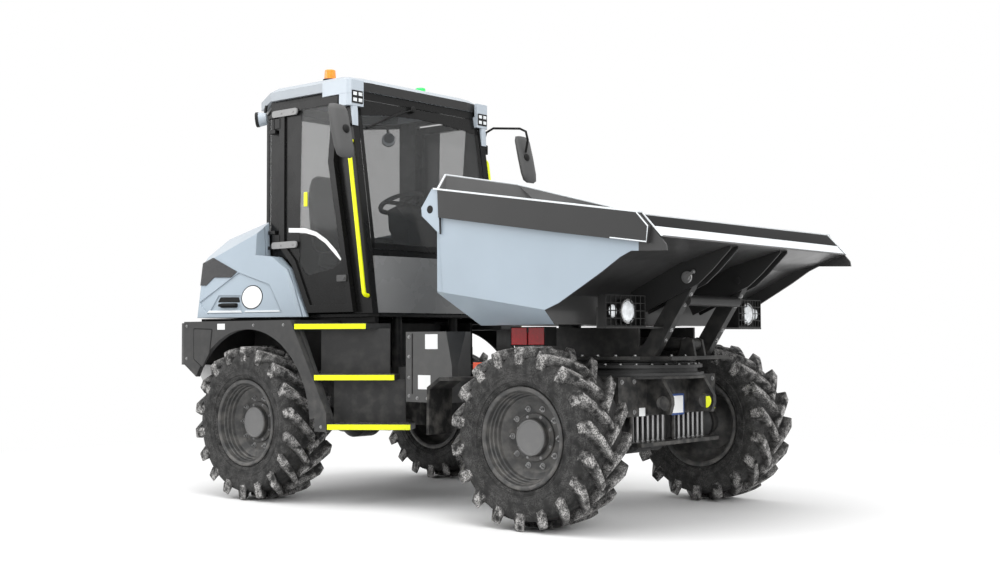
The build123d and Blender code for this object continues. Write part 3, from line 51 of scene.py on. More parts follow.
# ---- places on the machine
PIVOT_X = joints["articulation"]["pos_m"][0]
SLEW_X = joints["skip_slew"]["pos_m"][0]
TIP_PIVOT = Vector(joints["skip_tip"]["pos_m"])
WHEELS = {joint["child"]: Vector(joint["pos_m"]) for joint in frame["joints"]
          if joint["child"].startswith("wheel")}
BODY_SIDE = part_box("fenders")[1].y
ROOF_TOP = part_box("cab_roof")[1].z
MARKER_LOW, MARKER_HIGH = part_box("marker_lamps")
HEAD_X = PIVOT_X + 1.655  # front face of the front frame's head
BOX_SIDE = 0.8  # outer face of the side boxes
SIDES = (-1, 1)  # right and left
REAR, FRONT = "rear_frame", "front_frame"


def at(x, y, z):
    """A point whose X is given from the articulation pin."""
    return Vector((PIVOT_X + x, y, z))


def over(x, y, z):
    """A point whose X is given from the slewing axis."""
    return Vector((SLEW_X + x, y, z))


# ---- nodes
MATERIALS = {}
MIX_FACTOR, MIX_FIRST, MIX_SECOND, MIX_RESULT = 0, 6, 7, 2  # a colour mix's sockets


def feed(node, inputs):
    """Sets each input of a node to a constant, or links it to another node's output."""
    for name, value in inputs.items():
        if isinstance(value, bpy.types.NodeSocket):
            node.id_data.links.new(value, node.inputs[name])
        else:
            node.inputs[name].default_value = value


def new_node(tree, kind, inputs, **settings):
    node = tree.nodes.new("ShaderNode" + kind)
    for name, value in settings.items():
        setattr(node, name, value)
    feed(node, inputs)
    return node


def shader(name):
    """A new node material: its node tree, its surface shader and an object-space coordinate socket."""
    material = bpy.data.materials.new(name)
    material.use_nodes = True
    MATERIALS[name] = material
    tree = material.node_tree
    return tree, tree.nodes["Principled BSDF"], new_node(tree, "TexCoord", {}).outputs["Object"]


def noise(tree, place, scale, detail):
    return new_node(tree, "TexNoise", {"Vector": place, "Scale": scale, "Detail": detail}).outputs["Fac"]


def ramp(tree, value, low, high, out_low=0.0, out_high=1.0):
    """Maps a value from one range to another, clamped."""
    return new_node(tree, "MapRange", {"Value": value, "From Min": low, "From Max": high,
                                       "To Min": out_low, "To Max": out_high}).outputs["Result"]


def cloud(tree, place, scale, detail, out_low=0.0, out_high=1.0, low=0.3, high=0.7):
    """Noise whose usual range, low to high, is spread over another."""
    return ramp(tree, noise(tree, place, scale, detail), low, high, out_low, out_high)


def blend(tree, factor, first, second):
    """Mix of two colours; each is a colour or a socket."""
    inputs = {MIX_FACTOR: factor, MIX_FIRST: first, MIX_SECOND: second}
    return new_node(tree, "Mix", inputs, data_type="RGBA").outputs[MIX_RESULT]


def calculate(tree, operation, first, second=0.0):
    return new_node(tree, "Math", {0: first, 1: second}, operation=operation).outputs["Value"]


def product(tree, first, *others):
    for other in others:
        first = calculate(tree, "MULTIPLY", first, other)
    return first


def split(tree, vector):
    return new_node(tree, "SeparateXYZ", {"Vector": vector}).outputs


def height_of(tree):
    """World height of the shaded point."""
    return split(tree, new_node(tree, "NewGeometry", {}).outputs["Position"])["Z"]


def own_axes(tree):
    """Normal and place of the shaded point in its object's own axes, each split in X, Y and Z."""
    coordinates = new_node(tree, "TexCoord", {}).outputs
    return split(tree, coordinates["Normal"]), split(tree, coordinates["Object"])


def add_bump(tree, surface, height, strength, distance, edge=0.0):
    """Bump from a height, over edges rounded by the given radius."""
    inputs = {"Strength": strength, "Distance": distance, "Height": height}
    if edge:
        inputs["Normal"] = new_node(tree, "Bevel", {"Radius": edge}, samples=4).outputs["Normal"]
    feed(surface, {"Normal": new_node(tree, "Bump", inputs).outputs["Normal"]})


# ---- masks of two-tone finishes, and of the painted shade on the skip
SPOUT_X = SLEW_X + 0.885  # the skip is dark ahead of this
BRACKET_SIDE = 0.693  # the marker lamps' brackets reach out to this
BRACKET_TOP = 1.16
BUMPER_CREASE = 1.005  # the bumper is pale below this


def above(tree, value, limit, soft=0.001):
    """1 above the limit and 0 below it, over an edge of twice the softness."""
    return ramp(tree, value, limit - soft, limit + soft)


def below(tree, value, limit, soft=0.001):
    return ramp(tree, value, limit + soft, limit - soft)


def skip_shade_mask(tree):
    """1 on the skip's underside, inside and spout, painted dark grey as painted shade; 0 on its outer sides and
    back.
    """
    normal, spot = own_axes(tree)
    outward = product(tree, normal["Y"], calculate(tree, "SIGN", spot["Y"]))
    ahead = above(tree, normal["X"], -0.49, 0.01)
    upward = above(tree, normal["Z"], 0.09, 0.01)
    not_rear = calculate(tree, "MAXIMUM", ahead, upward)
    inner = calculate(tree, "MINIMUM", below(tree, outward, 0.34, 0.01), not_rear)
    return calculate(tree, "MAXIMUM", inner, above(tree, spot["X"], SPOUT_X))


def bracket_mask(tree):
    """1 on the brackets that carry the marker lamps, 0 on the lamps."""
    spot = own_axes(tree)[1]
    inside = below(tree, calculate(tree, "ABSOLUTE", spot["Y"]), BRACKET_SIDE)
    return calculate(tree, "MAXIMUM", inside, below(tree, spot["Z"], BRACKET_TOP))


def front_mask(tree):
    """1 on the faces that look forward."""
    return above(tree, own_axes(tree)[0]["X"], 0.61, 0.01)


def crease_mask(tree):
    """1 below the bumper's crease."""
    return below(tree, own_axes(tree)[1]["Z"], BUMPER_CREASE)


# ---- materials
def grey(level):
    return (level, level, level, 1.0)


def scaled(colour, factor):
    return tuple(factor * part for part in colour[:3]) + (1.0,)


PALE_BLUE = (0.33, 0.392, 0.45, 1.0)
DARK_GREY = grey(0.034)
YELLOW = (0.83, 0.9, 0.0, 1.0)
SOIL = (0.36, 0.34, 0.31, 1.0)
DRY_MUD = (0.46, 0.45, 0.44, 1.0)
DUST_TOP = 1.5  # dust starts below this height and is full at the other
DUST_FULL = 0.2


def paint(name, colour, roughness, coat=0.0, edge=0.004, peel=0.1, dust=0.25, gloss=0.35, second=None,
          mask=None):
    """Sprayed paint or moulded plastic: slight orange peel, uneven gloss and dust towards the ground."""
    tree, surface, place = shader(name)
    base = blend(tree, cloud(tree, place, 1.7, 4.0), colour, scaled(colour, 0.9))
    if mask:
        base = blend(tree, mask(tree), base, second)
    low = ramp(tree, height_of(tree), DUST_TOP, DUST_FULL)
    specks = cloud(tree, place, 14.0, 6.0, low=0.42, high=0.72)
    feed(surface, {"Base Color": blend(tree, product(tree, low, specks, dust), base, SOIL),
                   "Roughness": cloud(tree, place, 5.0, 5.0, roughness - 0.04, roughness + 0.08),
                   "Specular IOR Level": gloss, "Coat Weight": coat, "Coat Roughness": 0.12})
    add_bump(tree, surface, noise(tree, place, 260.0, 2.0), peel, 0.0012, edge)


def rough_metal(name, colour, roughness, metallic, grain=90.0, strength=0.35, edge=0.003):
    """Cast, machined or galvanised metal with a visible grain."""
    tree, surface, place = shader(name)
    base = blend(tree, cloud(tree, place, 6.0, 6.0), colour, scaled(colour, 0.75))
    shine = cloud(tree, place, 22.0, 4.0, roughness - 0.05, roughness + 0.1)
    feed(surface, {"Base Color": base, "Roughness": shine, "Metallic": metallic})
    add_bump(tree, surface, noise(tree, place, grain, 4.0), strength, 0.001, edge)


def rubber(name):
    """Tyre rubber: near black, with pale dry mud where the tread meets the ground."""
    tree, surface, place = shader(name)
    worn = new_node(tree, "Attribute", {}, attribute_name="dust").outputs["Fac"]
    patches = cloud(tree, place, 20.0, 9.0, low=0.36, high=0.6)
    fine = cloud(tree, place, 120.0, 6.0, 0.15, 1.0, 0.4, 0.6)
    warm = scaled((1.0, 0.98, 0.95), 0.02)
    black = blend(tree, cloud(tree, place, 4.0, 5.0, low=0.35), grey(0.009), warm)
    base = blend(tree, product(tree, patches, fine, worn), black, DRY_MUD)
    dull = cloud(tree, place, 9.0, 4.0, 0.55, 0.85)
    feed(surface, {"Base Color": base, "Roughness": dull, "Specular IOR Level": 0.3})
    add_bump(tree, surface, noise(tree, place, 120.0, 6.0), 0.35, 0.002)


def glass(name, colour, alpha, roughness=0.03):
    """Flat tinted pane."""
    tree, surface, place = shader(name)
    smears = cloud(tree, place, 3.0, 4.0, roughness, roughness + 0.05)
    feed(surface, {"Base Color": colour, "Roughness": smears, "Alpha": alpha, "IOR": 1.5})


def lens(name, colour, glow=0.0, ribs=220.0, coat=0.6):
    """Moulded lamp lens with fine ribs."""
    tree, surface, place = shader(name)
    wave = new_node(tree, "TexWave", {"Vector": place, "Scale": ribs}, bands_direction="Y").outputs["Fac"]
    base = blend(tree, cloud(tree, place, 40.0, 2.0), colour, scaled(colour, 0.7))
    feed(surface, {"Base Color": base, "Roughness": 0.12, "Coat Weight": coat,
                   "Emission Color": colour, "Emission Strength": glow})
    add_bump(tree, surface, wave, 0.35, 0.001)


def cloth(name, colour):
    """Woven seat cover: crossed threads and a soft sheen."""
    tree, surface, place = shader(name)
    threads = {"Vector": place, "Scale": 180.0, "Distortion": 0.6}
    across, along = (new_node(tree, "TexWave", threads, bands_direction=axis) for axis in "XY")
    weave = product(tree, across.outputs["Fac"], along.outputs["Fac"])
    base = blend(tree, weave, colour, scaled(colour, 2.2))
    feed(surface, {"Base Color": base, "Roughness": 0.9, "Sheen Weight": 0.3})
    add_bump(tree, surface, weave, 0.5, 0.0012)


paint("chassis_black", grey(0.018), 0.42, dust=0.3, gloss=0.25)
paint("battery_case", grey(0.03), 0.6)
paint("bumper_grey", DARK_GREY, 0.5, dust=0.3)
paint("bumper_grey_two_tone", DARK_GREY, 0.45, dust=0.2, second=grey(0.45), mask=crease_mask)
paint("body_grey", grey(0.032), 0.45, dust=0.15)
# the side boxes: a lighter copy of the body grey, painted light against the shade under the cab
paint("box_grey_painted_light", grey(0.075), 0.45, dust=0.1)
paint("cab_black", grey(0.008), 0.25, peel=0.04, dust=0.05, gloss=0.18)
paint("roof_grey", (0.34, 0.37, 0.4, 1.0), 0.4, dust=0.0, second=grey(0.02), mask=front_mask)
paint("cowl_grey", grey(0.23), 0.25, coat=0.3, peel=0.04)
paint("trim_black", grey(0.008), 0.55, peel=0.3, dust=0.1, gloss=0.2)
paint("trim_grey", grey(0.07), 0.5, peel=0.25)
paint("lamp_black", grey(0.01), 0.5, dust=0.1, gloss=0.25)
paint("lamp_red", (0.42, 0.0, 0.006, 1.0), 0.22, peel=0.4, edge=0.0, dust=0.05, gloss=0.2, second=grey(0.01),
      mask=bracket_mask)
paint("rail_yellow", YELLOW, 0.4, coat=0.2, dust=0.05)
paint("hood_paint", PALE_BLUE, 0.32, coat=0.6, edge=0.008, peel=0.06, dust=0.05)
# the skip's underside, inside and spout take dark grey: painted shade
paint("skip_paint", PALE_BLUE, 0.36, coat=0.3, edge=0.006, dust=0.15, second=DARK_GREY, mask=skip_shade_mask)
# pale white; on the hood's recess ledges and along the skip's edges it is painted highlight
paint("lip_white", (0.7, 0.73, 0.75, 1.0), 0.38, dust=0.1)
paint("white", (0.82, 0.83, 0.83, 1.0), 0.45, edge=0.0, dust=0.1)
paint("pod_pale", (0.42, 0.47, 0.52, 1.0), 0.35, coat=0.3, edge=0.0, dust=0.0)
paint("arm_grey", grey(0.26), 0.45, edge=0.0, dust=0.0)
paint("plate_blue", (0.02, 0.06, 0.22, 1.0), 0.4, edge=0.0, dust=0.1)
paint("rim_grey", grey(0.05), 0.4, edge=0.0, dust=0.3)
paint("hub_grey", grey(0.14), 0.45, edge=0.0, dust=0.1)
paint("mud_rubber", grey(0.012), 0.7, peel=0.3, dust=0.3, gloss=0.2)
rough_metal("axle_black", grey(0.018), 0.5, 0.1)
rough_metal("ring_steel", grey(0.04), 0.45, 0.5)
rough_metal("bolt_steel", grey(0.35), 0.35, 0.9, edge=0.0)
rough_metal("rod_chrome", grey(0.75), 0.12, 1.0, strength=0.05)
rough_metal("mirror_glass", grey(0.8), 0.03, 1.0, strength=0.0)
rubber("tyre")
glass("glass", scaled((0.97, 1.0, 1.0), 0.06), 0.3)
cloth("seat_cloth", grey(0.01))
lens("beacon_amber", (0.95, 0.25, 0.0, 1.0), glow=0.25)
lens("beacon_green", (0.01, 0.75, 0.12, 1.0), glow=0.25)
lens("lens_red", (0.34, 0.0, 0.004, 1.0), glow=0.06, ribs=60.0, coat=0.15)
lens("lamp_smoked", (0.015, 0.015, 0.017, 1.0), ribs=90.0)
# the side reflectors are no lamps: their faint glow is a painted reflection
lens("reflector_orange", (0.8, 0.07, 0.01, 1.0), glow=0.05)
lens("lamp_clear", (0.75, 0.78, 0.8, 1.0), glow=0.12)


# ---- outlines and meshes
def rectangle(left, right, low, high):
    return [(left, low), (right, low), (right, high), (left, high)]


def rounded(corners, radius, steps=5):
    """A closed outline in two coordinates with its corners rounded."""
    outline = []
    count = len(corners)
    for index, corner in enumerate(corners):
        corner = Vector(corner)
        before = Vector(corners[index - 1]) - corner
        after = Vector(corners[(index + 1) % count]) - corner
        reach = min(radius, 0.45 * before.length, 0.45 * after.length)
        first = corner + before.normalized() * reach
        last = corner + after.normalized() * reach
        for step in range(steps + 1):
            t = step / steps
            outline.append(tuple((1 - t) ** 2 * first + 2 * t * (1 - t) * corner + t ** 2 * last))
    return outline


def circle(centre, first, second, radius, count):
    """Points round a centre, in the plane of two directions."""
    turns = [2 * pi * index / count for index in range(count)]
    return [centre + radius * (cos(turn) * first + sin(turn) * second) for turn in turns]


def scene_object(name, data):
    made = bpy.data.objects.new(name, data)
    bpy.context.scene.collection.objects.link(made)
    return made


class Shape:
    """Collects vertices and faces of one piece in the frame's metres."""

    def __init__(self):
        self.points = []
        self.faces = []
        self.dust = []

    def loft(self, rings, capped=True, dust=0.0):
        """Quads between closed rings of equally many points; dust is one value, or one for each point."""
        start = len(self.points)
        count = len(rings[0])
        last_row = (len(rings) - 1) * count
        faces = []
        for row in range(0, last_row, count):
            for index in range(count):
                after = (index + 1) % count
                faces.append((row + index, row + after, row + count + after, row + count + index))
        if capped:
            faces += [tuple(reversed(range(count))), tuple(range(last_row, last_row + count))]
        self.points += [tuple(point) for ring in rings for point in ring]
        self.faces += [tuple(start + index for index in face) for face in faces]
        self.dust += dust if isinstance(dust, list) else [dust] * (last_row + count)

    def slab(self, corners, offset):
        """A flat outline in space, thickened along an offset."""
        corners = [Vector(corner) for corner in corners]
        self.loft([corners, [corner + Vector(offset) for corner in corners]])

    def side_slab(self, outline, side, y, depth, origin=PIVOT_X):
        """An outline of (X from the origin, height) on a side's upright face at y, raised outwards."""
        self.slab([(origin + x, side * y, z) for x, z in outline], (0, side * depth, 0))

    def front_slab(self, outline, x, depth, side=1):
        """An outline of (distance to the side, height) on the upright face at X, raised forwards."""
        self.slab([(x, side * y, z) for y, z in outline], (depth, 0, 0))

    def flat_slab(self, outline, side, low, high):
        """An outline of (X from the articulation pin, distance to the side) between two heights."""
        self.slab([at(x, side * y, low) for x, y in outline], (0, 0, high - low))

    def box(self, low, high):
        corners = rectangle(low[0], high[0], low[1], high[1])
        self.slab([(x, y, low[2]) for x, y in corners], (0, 0, high[2] - low[2]))

    def tube(self, points, radius, sides=12):
        """A round bar along a line of points."""
        points = [Vector(point) for point in points]
        last = len(points) - 1
        rings = []
        across = None
        for index, point in enumerate(points):
            forward = (points[min(index + 1, last)] - points[max(index - 1, 0)]).normalized()
            if across is None:
                across = forward.orthogonal().normalized()
            across = (across - forward * across.dot(forward)).normalized()
            rings.append(circle(point, across, forward.cross(across), radius, sides))
        self.loft(rings)

    def lathe(self, profile, centre, axis, segments=48, capped=True, dust=0.0):
        """A profile of (distance along the axis, radius) turned round it."""
        axis = Vector(axis).normalized()
        across = axis.orthogonal().normalized()
        up = axis.cross(across)
        centre = Vector(centre)
        rings = [circle(centre + along * axis, across, up, radius, segments) for along, radius in profile]
        self.loft(rings, capped, dust)

    def bolt(self, place, normal, size):
        """Hexagon head on a washer; size is the head's radius."""
        washer = [(-0.002, 1.5 * size), (0.14 * size, 1.5 * size), (0.22 * size, 1.4 * size)]
        head = [(0.15 * size, size), (0.85 * size, size), (size, 0.82 * size)]
        self.lathe(washer, place, normal, 16)
        self.lathe(head, place, normal, 6)

    def object(self, name, material, body, slot=None, bevel=0.0, segments=2, angle=35, replaces=()):
        """Turns what was collected into a piece on a body; the slot argument is not used."""
        slot = slot or material
        mesh = bpy.data.meshes.new(name)
        mesh.from_pydata(self.points, [], self.faces)
        mesh.update()
        tool = bmesh.new()
        tool.from_mesh(mesh)
        bmesh.ops.recalc_face_normals(tool, faces=tool.faces)
        tool.to_mesh(mesh)
        tool.free()
        if any(self.dust):
            layer = mesh.attributes.new("dust", "FLOAT", "POINT")
            layer.data.foreach_set("value", self.dust)
        mesh.shade_smooth()
        mesh.set_sharp_from_angle(angle=radians(angle))
        mesh.materials.append(MATERIALS[material])
        piece = scene_object(name, mesh)
        if bevel:
            rounding = piece.modifiers.new("edges", "BEVEL")
            rounding.width = bevel
            rounding.segments = segments
            rounding.limit_method = "ANGLE"
            rounding.angle_limit = radians(angle)
            rounding.harden_normals = True
        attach(piece, body)
        if replaces:
            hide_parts(*replaces)
        return piece


def shapes(count):
    return [Shape() for _ in range(count)]


# ---- camera, floor and light
CAMERA_PLACE = (6.634, -7.806, 1.2)
CAMERA_YAW, CAMERA_PITCH, CAMERA_ROLL = radians(130.096), radians(2.46), radians(-0.211)
CAMERA_LENS = 48.69
FLOOR_REACH = 80
FLOOR_FADE = (3.6, 7.0)  # the floor turns white between these distances from the machine
# place, size and power of the soft boxes: overhead, front right and behind
SOFT_BOXES = [((0.5, -1.5, 7.5), 7.0, 420.0), ((8.0, -5.0, 4.5), 4.0, 260.0), ((-6.0, -6.0, 5.0), 5.0, 200.0)]
LIT_POINT = Vector((0, 0, 1.2))


def place_camera():
    data = bpy.data.cameras.new("camera")
    data.lens = CAMERA_LENS
    data.sensor_width = 36.0
    data.clip_end = 300.0
    camera = scene_object("camera", data)
    camera.location = CAMERA_PLACE
    level = cos(CAMERA_PITCH)
    forward = Vector((cos(CAMERA_YAW) * level, sin(CAMERA_YAW) * level, sin(CAMERA_PITCH)))
    turn = forward.to_track_quat("-Z", "Y").to_matrix() @ Matrix.Rotation(CAMERA_ROLL, 3, "Z")
    camera.rotation_euler = turn.to_euler()
    bpy.context.scene.camera = camera


def lay_floor():
    """A pale floor that fades into the backdrop away from the machine."""
    mesh = bpy.data.meshes.new("floor")
    corners = rectangle(-FLOOR_REACH, FLOOR_REACH, -FLOOR_REACH, FLOOR_REACH)
    mesh.from_pydata([(x, y, 0) for x, y in corners], [], [(0, 1, 2, 3)])
    tree, surface, place = shader("floor")
    feed(surface, {"Base Color": grey(0.86), "Roughness": 0.75})
    add_bump(tree, surface, noise(tree, place, 60.0, 2.0), 0.02, 0.001)
    distance = new_node(tree, "VectorMath", {0: place}, operation="LENGTH").outputs["Value"]
    glow = new_node(tree, "Emission", {"Color": grey(1.0)}).outputs["Emission"]
    inputs = {0: ramp(tree, distance, *FLOOR_FADE), 1: surface.outputs["BSDF"], 2: glow}
    mixed = new_node(tree, "MixShader", inputs).outputs["Shader"]
    feed(tree.nodes["Material Output"], {"Surface": mixed})
    mesh.materials.append(MATERIALS["floor"])
    scene_object("floor", mesh)


def set_lights():
    world = bpy.data.worlds.new("studio")
    world.use_nodes = True
    background = world.node_tree.nodes["Background"]
    feed(background, {"Color": grey(1.0), "Strength": 1.0})
    bpy.context.scene.world = world
    bpy.context.scene.view_settings.view_transform = "Standard"
    for index, (place, size, power) in enumerate(SOFT_BOXES):
        data = bpy.data.lights.new(f"softbox_{index}", "AREA")
        data.size = size
        data.energy = power
        light = scene_object(f"softbox_{index}", data)
        light.location = place
        light.rotation_euler = (LIT_POINT - Vector(place)).to_track_quat("-Z", "Y").to_euler()


# ---- finish of the CAD pieces, with painted light on the side boxes
FINISHES_AND_PAINTED_LIGHT = {"tail_lamps": "lamp_smoked", "rear_bumper": "bumper_grey_two_tone", "side_boxes": "box_grey_painted_light"}


def finish_cad():
    slots = {part["node"]: part["material_slot"] for part in frame["record"]["subparts"]}
    for node, piece in frame["nodes"].items():
        piece.data.materials.clear()
        piece.data.materials.append(MATERIALS[FINISHES_AND_PAINTED_LIGHT.get(node, slots[node])])


# ---- tyres and rims
CENTRE = (0, 0, 0)
AXLE = (0, 1, 0)
TREAD_RADIUS = 0.5795
TYRE_HALF_WIDTH = 0.204
LUGS_PER_ROW = 18
LUG_STATIONS = 9  # sections of a lug from the tread's middle to its shoulder
LUG_FLANK = 0.25  # a lug goes on past the shoulder by this share
LUG_DUST = [0.15, 0.55, 1.0, 1.0, 0.55, 0.15]  # across a lug's section
GUARD_RIBS = [(0.1795, 0.338), (0.1865, 0.3455)]
# half of the carcass from the outer bead to the middle: (distance from the middle plane, radius)
CARCASS_HALF = [(0.166, 0.324), (0.182, 0.338), (0.19, 0.352), (0.189, 0.36), (0.196, 0.364),
                (0.199, 0.392), (0.2015, 0.394), (0.2015, 0.404), (0.199, 0.407), (0.203, 0.428),
                (0.203, 0.452), (0.199, 0.48), (0.19, 0.503), (0.176, 0.517), (0.15, 0.523), (0.1, 0.527),
                (0.05, 0.529), (0.0, 0.53)]
# parts of the rim: (distance outwards from the wheel's middle plane, radius)
RIM = [(0.182, 0.3), (0.186, 0.308), (0.186, 0.318), (0.18, 0.325), (0.168, 0.325), (0.163, 0.318),
       (0.16, 0.306), (0.1, 0.303), (-0.1, 0.303), (-0.163, 0.306), (-0.168, 0.325), (-0.182, 0.325),
       (-0.184, 0.305), (-0.176, 0.292), (-0.06, 0.285), (-0.02, 0.268), (0.0, 0.245), (0.016, 0.206)]
DISH = [(0.184, 0.304), (0.176, 0.297), (0.146, 0.294), (0.14, 0.289), (0.12, 0.286), (0.114, 0.28),
        (0.092, 0.276), (0.086, 0.268), (0.066, 0.262), (0.06, 0.25), (0.04, 0.228), (0.036, 0.222),
        (0.034, 0.2), (0.036, 0.15), (0.037, 0.124)]
HUB = [(0.02, 0.155), (0.046, 0.155), (0.05, 0.15), (0.05, 0.126), (0.054, 0.121), (0.086, 0.119),
       (0.092, 0.114)]
HUB_CAP = [(0.092, 0.114), (0.094, 0.112), (0.096, 0.104), (0.092, 0.098), (0.093, 0.06), (0.093, 0.001)]
HUB_BACK = [(-0.15, 0.046), (-0.15, 0.084), (-0.03, 0.09), (0.0, 0.15), (0.01, 0.206)]
WHEEL_NUTS, NUT_CIRCLE = 10, 0.188
HUB_BOLTS, BOLT_CIRCLE = 8, 0.138


def lug_section(row, part, turn):
    """Cross-section of a lug: part is 0 at the tread's middle, 1 at the shoulder and more on the sidewall."""
    tread = min(part, 1.0)
    drop = max(part - 1.0, 0.0) / LUG_FLANK
    middle = 0.105 - 0.205 * tread ** 0.95
    across = -0.012 + 0.214 * tread
    half_face = 0.025 + 0.01 * tread
    half_root = half_face + 0.018
    half_face *= 1.0 - 0.15 * drop
    face_radius = TREAD_RADIUS - 0.006 * tread ** 2 - 0.105 * drop
    root_radius = min(0.52 - 0.012 * tread, face_radius - 0.004) - 0.01 * drop
    face_across = min(across + 0.0015 * drop, TYRE_HALF_WIDTH)
    half = [(-half_root, root_radius, across - 0.02 * drop),
            (-half_face - 0.002, face_radius - 0.006, face_across),
            (0.004 - half_face, face_radius, face_across)]
    section = []
    for along, radius, level in half + [(-along, radius, level) for along, radius, level in reversed(half)]:
        angle = turn + (middle + along) / TREAD_RADIUS
        section.append(Vector((radius * sin(angle), -row * level, radius * cos(angle))))
    return section


def turn_ring(shape, profile, out, segments, dust=0.0):
    """A ring about the axle, from a profile of (distance outwards, radius)."""
    shape.lathe([(out * across, radius) for across, radius in profile], CENTRE, AXLE, segments, False, dust)


def tyre(shape):
    """Chevron-lugged tyre about the origin with its axle along Y."""
    inner_half = [(-across, radius) for across, radius in reversed(CARCASS_HALF[:-1])]
    turn_ring(shape, CARCASS_HALF + inner_half, 1, 144, 0.1)
    parts = [station / (LUG_STATIONS - 1) for station in range(LUG_STATIONS)] + [1.06, 1.0 + LUG_FLANK]
    for row in SIDES:
        for index in range(LUGS_PER_ROW):
            turn = 2 * pi / LUGS_PER_ROW * (index + (0.5 if row > 0 else 0.0))
            shape.loft([lug_section(row, part, turn) for part in parts], dust=LUG_DUST * len(parts))
        for across, radius in GUARD_RIBS:
            rib = [(across, radius - 0.0022), (across + 0.003, radius), (across, radius + 0.0022)]
            turn_ring(shape, rib, row, 96, 0.2)


def rim(shape, cap, nuts, out):
    """Stepped rim with its disc about the origin; out is +1 where the wheel's outside faces +Y."""
    turn_ring(shape, RIM, out, 96, 0.2)
    turn_ring(shape, DISH, out, 96, 0.2)
    turn_ring(shape, HUB, out, 64)
    turn_ring(shape, HUB_BACK, out, 64)
    turn_ring(cap, HUB_CAP, out, 64)
    for index in range(WHEEL_NUTS):
        turn = 2 * pi * index / WHEEL_NUTS
        x, z = NUT_CIRCLE * cos(turn), NUT_CIRCLE * sin(turn)
        nuts.bolt((x, out * 0.036, z), (0, out, 0), 0.0135)
        nuts.lathe([(out * 0.046, 0.007), (out * 0.062, 0.007), (out * 0.064, 0.005)], (x, 0, z), AXLE, 12)
    for index in range(HUB_BOLTS):
        turn = 2 * pi * (index + 0.5) / HUB_BOLTS
        nuts.bolt((BOLT_CIRCLE * cos(turn), out * 0.05, BOLT_CIRCLE * sin(turn)), (0, out, 0), 0.007)
    # air valve
    nuts.tube([(0.262, out * 0.1, 0.0), (0.24, out * 0.13, 0.0)], 0.006, 10)


def wheels():
    for body, centre in WHEELS.items():
        end = body.removeprefix("wheel_")
        made = tread, dish, cap, nuts = shapes(4)
        tyre(tread)
        rim(dish, cap, nuts, 1 if centre.y > 0 else -1)
        for shape in made:
            shape.points = [tuple(Vector(point) + centre) for point in shape.points]
        tread.object(f"lugged_tyre_{end}", "tyre", body, angle=32, replaces=(f"tyre_{end}",))
        dish.object(f"dished_rim_{end}", "rim_grey", body, angle=30, replaces=(f"rim_{end}",))
        cap.object(f"hub_cap_{end}", "hub_grey", body, "rim_grey", angle=30)
        nuts.object(f"wheel_nuts_{end}", "bolt_steel", body, "rim_grey", angle=30)


# ---- hood
# three points of the hood's lower side plane on the left, X from the articulation pin
HOOD_SIDE = [Vector(point) for point in ((-1.17, 0.85, 1.38), (-2.02, 1.148, 1.38), (-1.36, 0.868, 1.715))]
HOOD_NORMAL = (HOOD_SIDE[1] - HOOD_SIDE[0]).cross(HOOD_SIDE[2] - HOOD_SIDE[0]).normalized()
RECESS_DEPTH = 0.009
POCKET_DEPTH = 0.018
HOOD_FILM = 0.0004  # thin pieces start this far above the recess that they lie in
# outlines of (X from the articulation pin, height) along the recesses' lower edges, drawn pale as painted
# highlight
LEDGE_HIGHLIGHTS = [[(-1.925, 1.438), (-1.655, 1.436), (-1.64, 1.418), (-1.945, 1.418)],
          [(-1.615, 1.434), (-1.33, 1.434), (-1.318, 1.42), (-1.625, 1.42)]]
POCKET = [(-1.85, 1.545), (-1.69, 1.543), (-1.676, 1.502), (-1.868, 1.504)]
LOUVRE = rectangle(0.04, 0.44, 0.0, 0.024)
LOUVRES = 8
LOUVRE_PITCH = 0.042


def hood_point(x, z, side, out=0.0):
    """Point of the hood's side at X and Z, moved out of its plane."""
    first = HOOD_SIDE[0]
    y = first.y - (HOOD_NORMAL.x * (x - first.x) + HOOD_NORMAL.z * (z - first.z)) / HOOD_NORMAL.y
    point = Vector((x, y, z)) + out * HOOD_NORMAL
    return at(point.x, side * point.y, point.z)


def hood_normal(side):
    return Vector((HOOD_NORMAL.x, side * HOOD_NORMAL.y, HOOD_NORMAL.z))


def hood_slab(shape, outline, side, out, depth):
    """An outline of (X from the articulation pin, height) on the hood's side."""
    shape.slab([hood_point(x, z, side, out) for x, z in outline], hood_normal(side) * depth)


def hood_trim():
    handle, ledge_highlights, rim_ring, disc, slats = shapes(5)
    for side in SIDES:
        hood_slab(handle, rounded(rectangle(-1.835, -1.69, 1.46, 1.494), 0.012), side, -0.012, 0.012)
        handle.tube([hood_point(x, 1.478, side, 0.002) for x in (-1.845, -1.7)], 0.012)
        hood_slab(handle, rounded(POCKET, 0.008), side, HOOD_FILM - POCKET_DEPTH, 0.0015)
        for ledge in LEDGE_HIGHLIGHTS:
            hood_slab(ledge_highlights, ledge, side, HOOD_FILM - RECESS_DEPTH, 0.008)
        # louvres across the back of the hood
        for row in range(LOUVRES):
            z = 1.54 + LOUVRE_PITCH * row
            corners = [at(-2.1496 + 0.0385 * y, side * y, z + rise) for y, rise in LOUVRE]
            slats.slab(corners, (-0.006, 0, -0.004))
    # the photographed side carries a disc
    centre = hood_point(-1.575, 1.54, -1, -RECESS_DEPTH)
    rim_ring.lathe([(-0.001, 0.096), (0.0012, 0.096)], centre, hood_normal(-1), 64)
    disc.lathe([(-0.001, 0.088), (0.002, 0.088)], centre, hood_normal(-1), 64)
    handle.object("latch_handles", "trim_black", "hood", bevel=0.002)
    ledge_highlights.object("recess_ledge_highlights", "lip_white", "hood", "hood_paint", bevel=0.002)
    rim_ring.object("roundel_rim", "trim_black", "hood")
    disc.object("blank_roundel", "white", "hood", "lip_white")
    slats.object("rear_louvres", "trim_black", "hood", bevel=0.0015)


